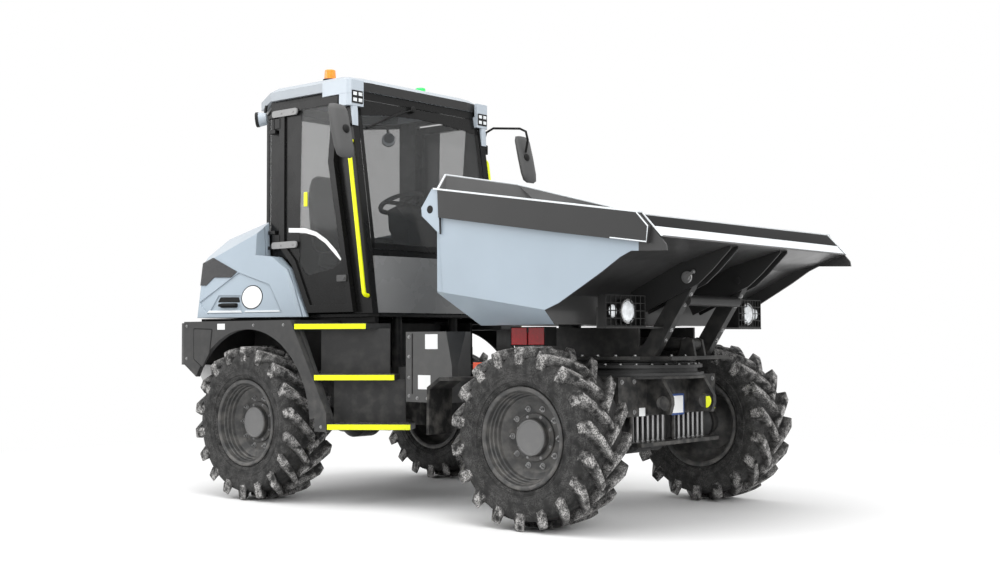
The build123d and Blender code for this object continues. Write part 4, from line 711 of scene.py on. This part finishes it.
# ---- fenders, steps and side boxes
PANEL_SHADE_LINE = [(-2.0, 1.3), (-1.76, 1.292), (-1.79, 1.1), (-1.88, 0.985), (-1.997, 1.053)]
PANEL = [(-1.991, 1.29), (-1.771, 1.283), (-1.799, 1.104), (-1.882, 0.997), (-1.988, 1.058)]
FENDER_BOLTS = [(-2.085, 1.315), (-2.085, 1.06), (-1.27, 1.315), (-0.93, 1.315), (-0.52, 0.58)]
BOX_BOLTS = [(-0.03, 0.8), (-0.03, 0.93), (-0.03, 1.08), (-0.03, 1.22), (0.05, 0.785), (0.15, 0.785),
             (0.25, 0.785)]
BOX_LABELS = [rectangle(0.13, 0.25, 1.135, 1.24), rectangle(0.06, 0.18, 0.85, 0.95)]
FENDER_SKIN = BODY_SIDE - 0.0005  # panels start this deep in the fender, so that no gap shows
HOOD_GAP_SHADE = [(-2.08, 1.06), (-1.23, 0.8), (-1.23, 0.77), (-2.08, 1.03)]
# (height, X from the articulation pin where the edge starts, its length)
STEP_EDGES = [(1.322, -0.808, 0.53), (0.952, -0.593, 0.585), (0.602, -0.455, 0.6)]
STEP_DEPTH = 0.2
STEP_TURN = radians(35)
STEP_ALONG = Vector((cos(STEP_TURN), -sin(STEP_TURN), 0))
STEP_INWARD = Vector((-sin(STEP_TURN), -cos(STEP_TURN), 0))
CUP = [(-0.001, 0.011), (0.004, 0.009), (0.004, 0.006), (0.001, 0.005)]
CUP_ROWS, CUP_COLUMNS = 5, 13


def step_trim(nosings, treads, side):
    """Yellow nosings, and staggered rows of grip cups on the treads."""
    flip = Vector((1, side, 1))
    for top, start_x, length in STEP_EDGES:
        start = at(start_x, BODY_SIDE, top)
        corners = [start + STEP_ALONG * reach + Vector((0, 0, drop))
                   for reach, drop in rectangle(0.0, length, -0.04, -0.002)]
        nosings.slab([corner * flip for corner in corners], STEP_INWARD * flip * -0.003)
        for row in range(CUP_ROWS):
            inward = 0.022 + row * (STEP_DEPTH - 0.03) / (CUP_ROWS - 1)
            for column in range(CUP_COLUMNS):
                reach = 0.03 + (length - 0.06) * (column + 0.5 * (row % 2)) / (CUP_COLUMNS - 0.5)
                spot = (start + STEP_ALONG * reach + STEP_INWARD * inward) * flip
                treads.lathe(CUP, spot, (0, 0, 1), 8)


def body_trim():
    panels, seams_and_shade_lines, nosings, treads, bolts, labels, gap_shades = shapes(7)
    for side in SIDES:
        # dark outline round the fender's sunken panel: painted shade along its step
        seams_and_shade_lines.side_slab(rounded(PANEL_SHADE_LINE, 0.015), side, FENDER_SKIN, 0.0015)
        panels.side_slab(rounded(PANEL, 0.012), side, FENDER_SKIN, 0.003)
        for x, z in FENDER_BOLTS:
            bolts.bolt(at(x, side * BODY_SIDE, z), (0, side, 0), 0.008)
        for x, z in BOX_BOLTS:
            bolts.bolt(at(x, side * BOX_SIDE, z), (0, side, 0), 0.009)
        # cover seam of the side box
        seams_and_shade_lines.side_slab(rectangle(0.0, 0.006, 0.815, 1.245), side, BOX_SIDE, 0.004)
        step_trim(nosings, treads, side)
        # dark sheets under the hood and the cab, painted shade that closes the gaps
        gap_shades.flat_slab(HOOD_GAP_SHADE, side, 1.349, 1.373)
        gap_shades.flat_slab(rectangle(-1.9, -0.48, 0.66, 0.7), side, 1.33, 1.3745)
    # blank plates that the photographed side carries
    labels.side_slab(rectangle(-1.7, -1.61, 1.285, 1.33), -1, FENDER_SKIN, 0.002)
    for label in BOX_LABELS:
        labels.side_slab(label, -1, BOX_SIDE, 0.002)
    panels.object("fender_panels", "body_grey", REAR, bevel=0.001)
    seams_and_shade_lines.object("body_seams_and_shade_lines", "trim_black", REAR)
    labels.object("blank_labels", "white", REAR, "lip_white")
    gap_shades.object("gap_shade_sheets", "trim_black", REAR)
    nosings.object("step_nosings", "rail_yellow", REAR)
    treads.object("tread_cups", "bumper_grey", REAR, "body_grey")
    bolts.object("body_bolts", "bolt_steel", REAR, "ring_steel", angle=30)


# ---- cab
GLASS_EDGE = 0.69  # half width of the windscreen's black edge
FRIT_DEPTH = 0.002
LEAF_FACE = 0.8085  # outer faces of the door's leaf and its pane, and the stripe's inner face
PANE_FACE = 0.7915
STRIPE_FACE = 0.792
STRIPE = [(-1.34, 2.078), (-1.146, 2.066), (-1.02, 2.03), (-0.905, 1.967), (-0.8, 1.88), (-0.742, 1.812),
          (-0.752, 1.8), (-0.815, 1.852), (-0.92, 1.94), (-1.03, 2.0), (-1.15, 2.032), (-1.34, 2.044)]
DOOR_FRIT = [(-1.374, 1.94), (-1.215, 1.79), (-1.19, 2.989), (-1.374, 2.989)]


def pillar_x(z):
    """X of the front pillar's middle line at a height, from the articulation pin."""
    return -0.47 - 0.25 * (z - 1.4) / 1.7


def screen(y, z, out=0.0005):
    """Point just off the windscreen's outer face."""
    return at(pillar_x(z) + 0.022 + out, y, z)


def windscreen_trim():
    """Black edge of the windscreen, curved along the top, and the wiper."""
    frit, wiper = shapes(2)
    shares = [2 * index / 16 - 1 for index in range(17)]
    curve = [screen(GLASS_EDGE * share, 2.905 + 0.05 * (1 - share ** 2)) for share in shares]
    top = [screen(y, 3.034) for y in (GLASS_EDGE, -GLASS_EDGE)]
    bands = [rectangle(-GLASS_EDGE, GLASS_EDGE, 1.885, 1.93)]
    bands += [rectangle(side * GLASS_EDGE, side * 0.655, 1.89, 3.0) for side in SIDES]
    for corners in [top + curve] + [[screen(y, z) for y, z in band] for band in bands]:
        frit.slab(corners, (FRIT_DEPTH, 0, 0))
    wiper.lathe([(0.0, 0.028), (0.03, 0.026), (0.036, 0.018)], screen(-0.1, 3.02, 0.002), (1, 0, 0.15), 20)
    wiper.tube([screen(-0.1, 3.02, 0.03), screen(-0.2, 2.99, 0.034), screen(-0.42, 2.905, 0.026)], 0.006, 8)
    wiper.tube([screen(-0.2, 2.996, 0.01), screen(-0.62, 2.815, 0.01)], 0.008, 8)
    frit.object("windscreen_frit", "cab_black", REAR)
    wiper.object("wiper", "trim_black", REAR)


def door_trim(name, side):
    arms, stripe, frit, catch, grip = shapes(5)
    for z in (1.945, 2.985):
        arms.side_slab(rounded(rectangle(-1.512, -1.22, z - 0.026, z + 0.026), 0.026), side, LEAF_FACE, 0.014)
        for x in (-1.4, -1.26):
            arms.bolt(at(x, side * (LEAF_FACE + 0.014), z), (0, side, 0), 0.007)
    stripe.side_slab(STRIPE, side, STRIPE_FACE, 0.002)
    frit.side_slab(DOOR_FRIT, side, PANE_FACE, 0.001)
    catch.side_slab(rounded(rectangle(-1.158, -1.122, 2.235, 2.345), 0.006), side, PANE_FACE, 0.01)
    # outside handle and lock on the front stile
    grip.side_slab(rounded(rectangle(-0.77, -0.668, 1.64, 1.69), 0.012), side, LEAF_FACE, 0.01)
    grip.lathe([(0.01, 0.014), (0.016, 0.012)], at(-0.69, side * LEAF_FACE, 1.665), (0, side, 0), 16)
    body = f"door_{name}"
    arms.object(f"hinge_arms_{name}", "arm_grey", body, "trim_grey", bevel=0.003)
    stripe.object(f"door_stripe_{name}", "white", body, "lip_white")
    frit.object(f"door_frit_{name}", "cab_black", body)
    catch.object(f"door_catch_{name}", "rail_yellow", body, bevel=0.002)
    grip.object(f"door_handle_{name}", "trim_grey", body, bevel=0.002)


# ---- roof lamps and beacons
# outlines of the pale corner shell as (X from the articulation pin, distance to the side)
POD_FRONT = [(-0.645, 0.655), (-0.645, 0.785), (-0.668, 0.812)]
POD_UPPER = POD_FRONT + [(-0.86, 0.812), (-0.95, 0.8005), (-0.95, 0.7965), (-0.6735, 0.7965),
                         (-0.6735, 0.655)]
POD_LOWER = POD_FRONT + [(-0.752, 0.812), (-0.752, 0.766), (-0.69, 0.766), (-0.69, 0.655)]
LED_FACE = PIVOT_X - 0.6418
BEACON_BASE = [(-0.004, 0.06), (0.03, 0.06), (0.038, 0.052), (0.046, 0.052), (0.048, 0.056), (0.054, 0.056),
               (0.056, 0.05)]
BEACON_RIBS = 9


def front_pod(pods, inserts, leds, side):
    """Pale shell over the roof's corner and down over the pillar's head."""
    pods.flat_slab(POD_UPPER, side, 3.06, 3.17)
    pods.flat_slab(POD_LOWER, side, 2.97, 3.06)
    rings = []
    for z, fade in ((2.975, 1.0), (2.9, 0.8), (2.82, 0.35)):
        tongue = ((0.0, 0.712), (0.022 * fade, 0.717), (0.022 * fade, 0.767), (0.0, 0.772))
        rings.append([at(pillar_x(z) + 0.032 + ahead, side * y, z) for ahead, y in tongue])
    pods.loft(rings)
    inserts.front_slab(rounded(rectangle(0.664, 0.78, 2.99, 3.088), 0.01), PIVOT_X - 0.6455, 0.004, side)
    for y in (0.694, 0.75):
        for z in (3.016, 3.062):
            leds.front_slab(rectangle(y - 0.018, y + 0.018, z - 0.013, z + 0.013), LED_FACE, 0.003, side)


def rear_lamp(pods, rings, lenses, side):
    """Pale housing, dark ring, lens and foot of a lamp at the roof's rear corner."""
    look = Vector((-0.75, side * 0.66, -0.1)).normalized()
    centre = at(-1.76, side * 0.735, 2.985)
    pods.lathe([(-0.062, 0.03), (-0.055, 0.048), (0.0, 0.058), (0.01, 0.058)], centre, look, 32)
    rings.lathe([(0.008, 0.061), (0.03, 0.061), (0.034, 0.055), (0.026, 0.051)], centre, look, 32)
    lenses.lathe([(0.0, 0.052), (0.027, 0.05)], centre, look, 32)
    stalk = [centre - look * 0.03, at(-1.735, side * 0.7, 3.05), at(-1.735, side * 0.69, 3.099)]
    rings.tube(stalk, 0.012, 10)


def roof_trim():
    pods, inserts, lenses, bases, rings = shapes(5)
    for side, colour in zip(SIDES, ("amber", "green")):
        front_pod(pods, inserts, lenses, side)
        rear_lamp(pods, rings, lenses, side)
        foot = at(-1.165, side * 0.52, ROOF_TOP)
        bases.lathe(BEACON_BASE, foot, (0, 0, 1), 40)
        dome = Shape()
        profile = []
        for rib in range(BEACON_RIBS):
            height, radius = 0.056 + 0.008 * rib, 0.0485 - 0.0006 * rib
            profile += [(height, radius), (height + 0.004, radius - 0.002)]
        dome.lathe(profile + [(0.128, 0.04), (0.1315, 0.03)], foot, (0, 0, 1), 40)
        dome.object(f"beacon_dome_{colour}", f"beacon_{colour}", REAR, "beacon_amber", angle=50)
    pods.object("lamp_pods", "pod_pale", REAR, "trim_grey", bevel=0.004, replaces=("work_lamps",))
    inserts.object("lamp_inserts", "lamp_black", REAR, bevel=0.001)
    lenses.object("lamp_lenses", "lamp_clear", REAR, "lamp_black")
    rings.object("rear_lamp_rings", "lamp_black", REAR)
    bases.object("beacon_bases", "lamp_black", REAR, replaces=("beacons",))


# ---- mirrors
MIRROR_SIDE = 1.065
MIRROR_TOP = 2.925
# sections of the head: (height, half width, depth), and the outline of each as shares of depth and half width
MIRROR_SECTIONS = [(2.925, 0.04, 0.012), (2.918, 0.075, 0.026), (2.88, 0.092, 0.034), (2.74, 0.0945, 0.038),
                   (2.6, 0.092, 0.036), (2.54, 0.08, 0.028), (2.52, 0.045, 0.012)]
MIRROR_OUTLINE = [(-0.25, -0.98), (-0.25, 0.98), (0.1, 1.0), (0.6, 0.86), (0.85, 0.4), (0.85, -0.4),
                  (0.6, -0.86), (0.1, -1.0)]
# middle lines of the short arm on the right and the hooped arm on the left, from the articulation pin
RIGHT_ARM = [(-0.69, -0.76, 2.83), (-0.69, -0.8, 2.83), (-0.56, -0.92, 2.8), (-0.47, -1.01, 2.766)]
LEFT_HOOP = [(-0.69, 0.762, 2.8), (-0.7, 0.8, 2.86), (-0.695, 0.83, 2.95), (-0.64, 0.86, 2.985),
             (-0.44, 0.97, 2.975), (-0.4, 1.0, 2.95), (-0.395, 1.02, 2.88), (-0.43, 1.035, 2.78)]


def mirror_x(z):
    """X of a mirror's back at a height: the head leans forward towards its foot."""
    return -0.505 + (MIRROR_TOP - z) * 0.235


def mirror_trim():
    heads, panes, tubes = shapes(3)
    for side in SIDES:
        middle = side * MIRROR_SIDE
        heads.loft([[at(mirror_x(z) + depth * ahead, middle + width * beside, z)
                     for ahead, beside in MIRROR_OUTLINE] for z, width, depth in MIRROR_SECTIONS])
        # the glass faces the driver
        pane = rounded(rectangle(-0.078, 0.078, 2.56, 2.885), 0.025)
        panes.slab([at(mirror_x(z) - 0.0102, middle + y, z) for y, z in pane], (-0.002, 0, 0))
        tubes.lathe([(0.0, 0.032), (0.026, 0.032), (0.034, 0.022), (0.036, 0.004)],
                    at(-0.448, middle - side * 0.02, 2.735), (1, 0, 0.1), 24)
    tubes.tube([at(*point) for point in RIGHT_ARM], 0.013)
    tubes.tube([at(*point) for point in LEFT_HOOP], 0.01)
    # bracket of the hooped arm
    tubes.front_slab(rounded(rectangle(0.762, 0.835, 2.76, 2.84), 0.012), PIVOT_X - 0.692, 0.012)
    for y in (0.782, 0.816):
        tubes.bolt(at(-0.68, y, 2.8), (1, 0, 0), 0.008)
    heads.object("mirror_heads", "trim_grey", REAR, bevel=0.003, angle=50, replaces=("mirrors",))
    panes.object("mirror_panes", "mirror_glass", REAR, "trim_grey")
    tubes.object("mirror_arms", "trim_black", REAR, "trim_grey")


# ---- skip
# X from the slewing axis; the rear rim also has the distance to the side
REAR_RIM = [(-0.74, -1.184, 2.206), (-1.368, -0.42, 2.422), (-1.368, 0.42, 2.422), (-0.74, 1.184, 2.206)]
SIDE_RIM = [(-0.738, 2.2), (0.903, 1.943), (0.903, 1.9545), (-0.738, 2.2115)]
BAND_EDGE = [(0.893, 1.944), (0.971, 1.86), (0.961, 1.768), (0.7, 1.806)]
SPOUT_EDGE = [(0.912, 1.944), (1.05, 1.799), (1.04, 1.799), (0.901, 1.944)]
RIB_SIDE = 0.371  # outer face of the ribs that carry the tipping pin
PIN_HEAD = [(0.0, 0.04), (0.006, 0.04), (0.009, 0.036), (0.009, 0.024), (0.012, 0.022)]
KEEPER = [(-0.01, 0.012), (0.06, 0.045), (0.068, 0.03), (-0.002, -0.006)]


def skip_trim():
    edges, pins, eye_shades = shapes(3)
    # pale strips along the skip's rims, band edges and spout edges are painted highlight
    edges.tube([over(*point) for point in REAR_RIM], 0.008, 8)
    for side in SIDES:
        edges.side_slab(SIDE_RIM, side, 1.178, 0.055, SLEW_X)
        edges.tube([over(x, side * 1.2315, z) for x, z in BAND_EDGE], 0.0045, 8)
        edges.side_slab(SPOUT_EDGE, side, 1.187, 0.01, SLEW_X)
        # pivot pin, its keeper plate and the plate's bolt
        face = TIP_PIVOT + Vector((0, side * RIB_SIDE, 0))
        pins.lathe(PIN_HEAD, face, (0, side, 0), 32)
        pins.slab([face + Vector((x, side * 0.009, z)) for x, z in KEEPER], (0, side * 0.005, 0))
        pins.bolt(face + Vector((0.056, side * 0.013, 0.034)), (0, side, 0), 0.009)
        # a black disc in each lifting eye is painted shade of its hole
        eye_shades.lathe([(-0.001, 0.027), (0.0012, 0.027)], over(-0.775, side * 1.22, 2.07), (0, side, 0), 32)
    edges.object("skip_edge_highlights", "lip_white", "skip", bevel=0.001)
    pins.object("pivot_pins", "bolt_steel", "skip", "ring_steel", angle=30)
    eye_shades.object("lifting_eye_shades", "trim_black", "skip")


# ---- turntable
GUARD_LENS = [(0.0, 0.07), (0.01, 0.066), (0.018, 0.052), (0.023, 0.03), (0.025, 0.002)]
GUARD_RIM = [(-0.002, 0.079), (0.01, 0.079), (0.012, 0.071), (0.002, 0.069)]
SMALL_LENS = [(0.0, 0.042), (0.008, 0.036), (0.012, 0.02), (0.013, 0.001)]
STRUT_FACE = (0.836, 0, -0.549)  # direction in which the struts' front faces look
RING_TOP = 1.086


def ring_bolts(shape, count, radius, z, size, start=0.0):
    """Bolts standing on a circle round the slewing axis."""
    for index in range(count):
        turn = 2 * pi * (index + start) / count
        shape.bolt(over(radius * cos(turn), radius * sin(turn), z), (0, 0, 1), size)


def turntable_trim():
    lenses, small, rims, bolts = shapes(4)
    for side in SIDES:
        lamp = over(0.486, side * 0.749, 1.376)
        lenses.lathe(GUARD_LENS, lamp, (1, 0, 0), 40)
        rims.lathe(GUARD_RIM, lamp, (1, 0, 0), 40, False)
        small.lathe(SMALL_LENS, over(0.471, side * 0.885, 1.376), (1, 0, 0), 32)
        foot = over(0.425, side * 0.32, RING_TOP)
        head = Vector((TIP_PIVOT.x + 0.045, side * 0.32, TIP_PIVOT.z - 0.031))
        for share in (0.22, 0.36, 0.7, 0.84):
            bolts.bolt(foot.lerp(head, share), STRUT_FACE, 0.01)
    ring_bolts(bolts, 24, 0.488, RING_TOP, 0.011, 0.5)
    lenses.object("guard_lamp_lenses", "lamp_clear", "turntable", "lamp_black", angle=60)
    small.object("side_lamp_lenses", "lamp_clear", "turntable", "lamp_black", angle=60)
    rims.object("guard_lamp_rims", "bolt_steel", "turntable", "ring_steel")
    bolts.object("turntable_bolts", "bolt_steel", "turntable", "ring_steel", angle=30)


# ---- front frame
ROD_X = HEAD_X - 0.014
RODS_PER_SIDE = 7
PLATE_FILM = 0.0015
MARKER_FLOOR = 1.158
MARKER_TOP = 1.279
MARKER_OUTER = 0.8225


def marker_lamp(lenses, frames, side):
    """Two lenses in a black frame, up to just under the skip."""
    middle = 0.5 * (MARKER_LOW.x + MARKER_HIGH.x)
    for start, end in ((MARKER_LOW.x + 0.006, middle - 0.008), (middle + 0.008, MARKER_HIGH.x - 0.006)):
        lenses.box((start, side * 0.7, MARKER_FLOOR + 0.008), (end, side * MARKER_OUTER, MARKER_TOP))
    near, far = side * 0.697, side * (MARKER_OUTER - 0.0025)
    for x in (MARKER_LOW.x - 0.003, middle - 0.006, MARKER_HIGH.x - 0.009):
        frames.box((x, near, MARKER_FLOOR), (x + 0.012, far, MARKER_TOP + 0.004))
    for z in (MARKER_FLOOR, MARKER_TOP):
        frames.box((MARKER_LOW.x - 0.003, near, z), (MARKER_HIGH.x + 0.003, far, z + 0.005))


def head_plate_trim():
    bolts, plates, borders, stickers, rods = shapes(5)
    ring_bolts(bolts, 28, 0.465, 1.028, 0.01)
    for y in (-0.56, -0.42, 0.42, 0.56):
        for z in (0.72, 0.92):
            bolts.bolt((HEAD_X, y, z), (1, 0, 0), 0.011)
    borders.front_slab(rounded(rectangle(0.02, 0.18, 0.68, 0.825), 0.008), HEAD_X, 0.004)
    plates.front_slab(rectangle(0.034, 0.166, 0.694, 0.811), HEAD_X + 0.0035, PLATE_FILM)
    plates.front_slab(rectangle(-0.365, -0.295, 0.69, 0.745), HEAD_X, PLATE_FILM)
    stickers.front_slab(rectangle(0.47, 0.592, 0.705, 0.795), HEAD_X, PLATE_FILM)
    for side in SIDES:
        for index in range(RODS_PER_SIDE):
            y = side * (0.07 + 0.06 * index)
            rods.tube([(ROD_X, y, 0.505), (ROD_X, y, 0.692)], 0.0115, 10)
            rods.bolt((ROD_X, y, 0.52), (0, 0, 1), 0.014)
    bolts.object("ring_bolts", "bolt_steel", FRONT, "ring_steel", angle=30)
    borders.object("plate_border", "plate_blue", FRONT, "chassis_black", bevel=0.001)
    plates.object("blank_plates", "white", FRONT, "lip_white")
    stickers.object("yellow_plate", "rail_yellow", FRONT)
    rods.object("clamp_rods", "bolt_steel", FRONT, "ring_steel")


def front_lamp_trim():
    reflectors, frames, lenses = shapes(3)
    for side in SIDES:
        # amber side reflector on its bracket beside the arm of the mudguard
        reflectors.side_slab(rectangle(0.6, 0.76, 1.0, 1.045), side, 0.812, 0.012)
        frames.side_slab(rectangle(0.59, 0.77, 0.949, 1.055), side, 0.8, 0.012)
        marker_lamp(lenses, frames, side)
    reflectors.object("side_reflectors", "reflector_orange", FRONT, "lamp_red", bevel=0.002)
    lenses.object("marker_lenses", "lens_red", FRONT, "lamp_red", bevel=0.003)
    frames.object("lamp_frames", "lamp_black", FRONT, bevel=0.0015)


# ---- seat
SEAT_X = -1.43  # middle of the seat, from the articulation pin
# (distance behind the middle, height, half width, half depth) up the back rest
BACK_REST = [(0.215, 1.93, 0.2, 0.03), (0.225, 1.96, 0.235, 0.058), (0.255, 2.15, 0.245, 0.062),
             (0.3, 2.35, 0.225, 0.055), (0.33, 2.48, 0.19, 0.05), (0.345, 2.56, 0.15, 0.042),
             (0.352, 2.582, 0.11, 0.018)]
# (height, half length, half width) up the cushion
CUSHION = [(1.795, 0.225, 0.225), (1.815, 0.245, 0.245), (1.88, 0.25, 0.25), (1.915, 0.235, 0.235),
           (1.925, 0.19, 0.2)]
BELLOWS = 5
BELLOWS_PITCH = 0.046


def rounded_square(count, power):
    """Points round a square of half size 1; the smaller the power, the squarer."""
    turns = [2 * pi * index / count for index in range(count)]
    return [[copysign(abs(value) ** power, value) for value in (cos(turn), sin(turn))] for turn in turns]


def seat():
    cushions, base = shapes(2)
    cushions.loft([[at(SEAT_X - behind - depth * 0.3 + depth * b + 0.02 * abs(a), half * a, z)
                    for a, b in rounded_square(20, 0.6)] for behind, z, half, depth in BACK_REST])
    cushions.loft([[at(SEAT_X + reach * a, half * b, z + 0.01 * abs(b)) for a, b in rounded_square(24, 0.5)]
                   for z, reach, half in CUSHION])
    piece = cushions.object("seat_cushions", "seat_cloth", REAR, bevel=0.008, segments=3, angle=50,
                            replaces=("seat",))
    base.box(at(SEAT_X - 0.2, -0.19, 1.4), at(SEAT_X + 0.2, 0.19, 1.56))
    for row in range(BELLOWS):
        z = 1.56 + BELLOWS_PITCH * row
        base.box(at(SEAT_X - 0.17, -0.165, z), at(SEAT_X + 0.17, 0.165, z + 0.03))
        base.box(at(SEAT_X - 0.15, -0.15, z + 0.028), at(SEAT_X + 0.15, 0.15, z + 0.048))
    base.object("seat_base", "trim_black", REAR, bevel=0.006)


place_camera()
lay_floor()
set_lights()
finish_cad()
wheels()
hood_trim()
body_trim()
windscreen_trim()
door_trim("right", -1)
door_trim("left", 1)
roof_trim()
mirror_trim()
skip_trim()
turntable_trim()
head_plate_trim()
front_lamp_trim()
seat()
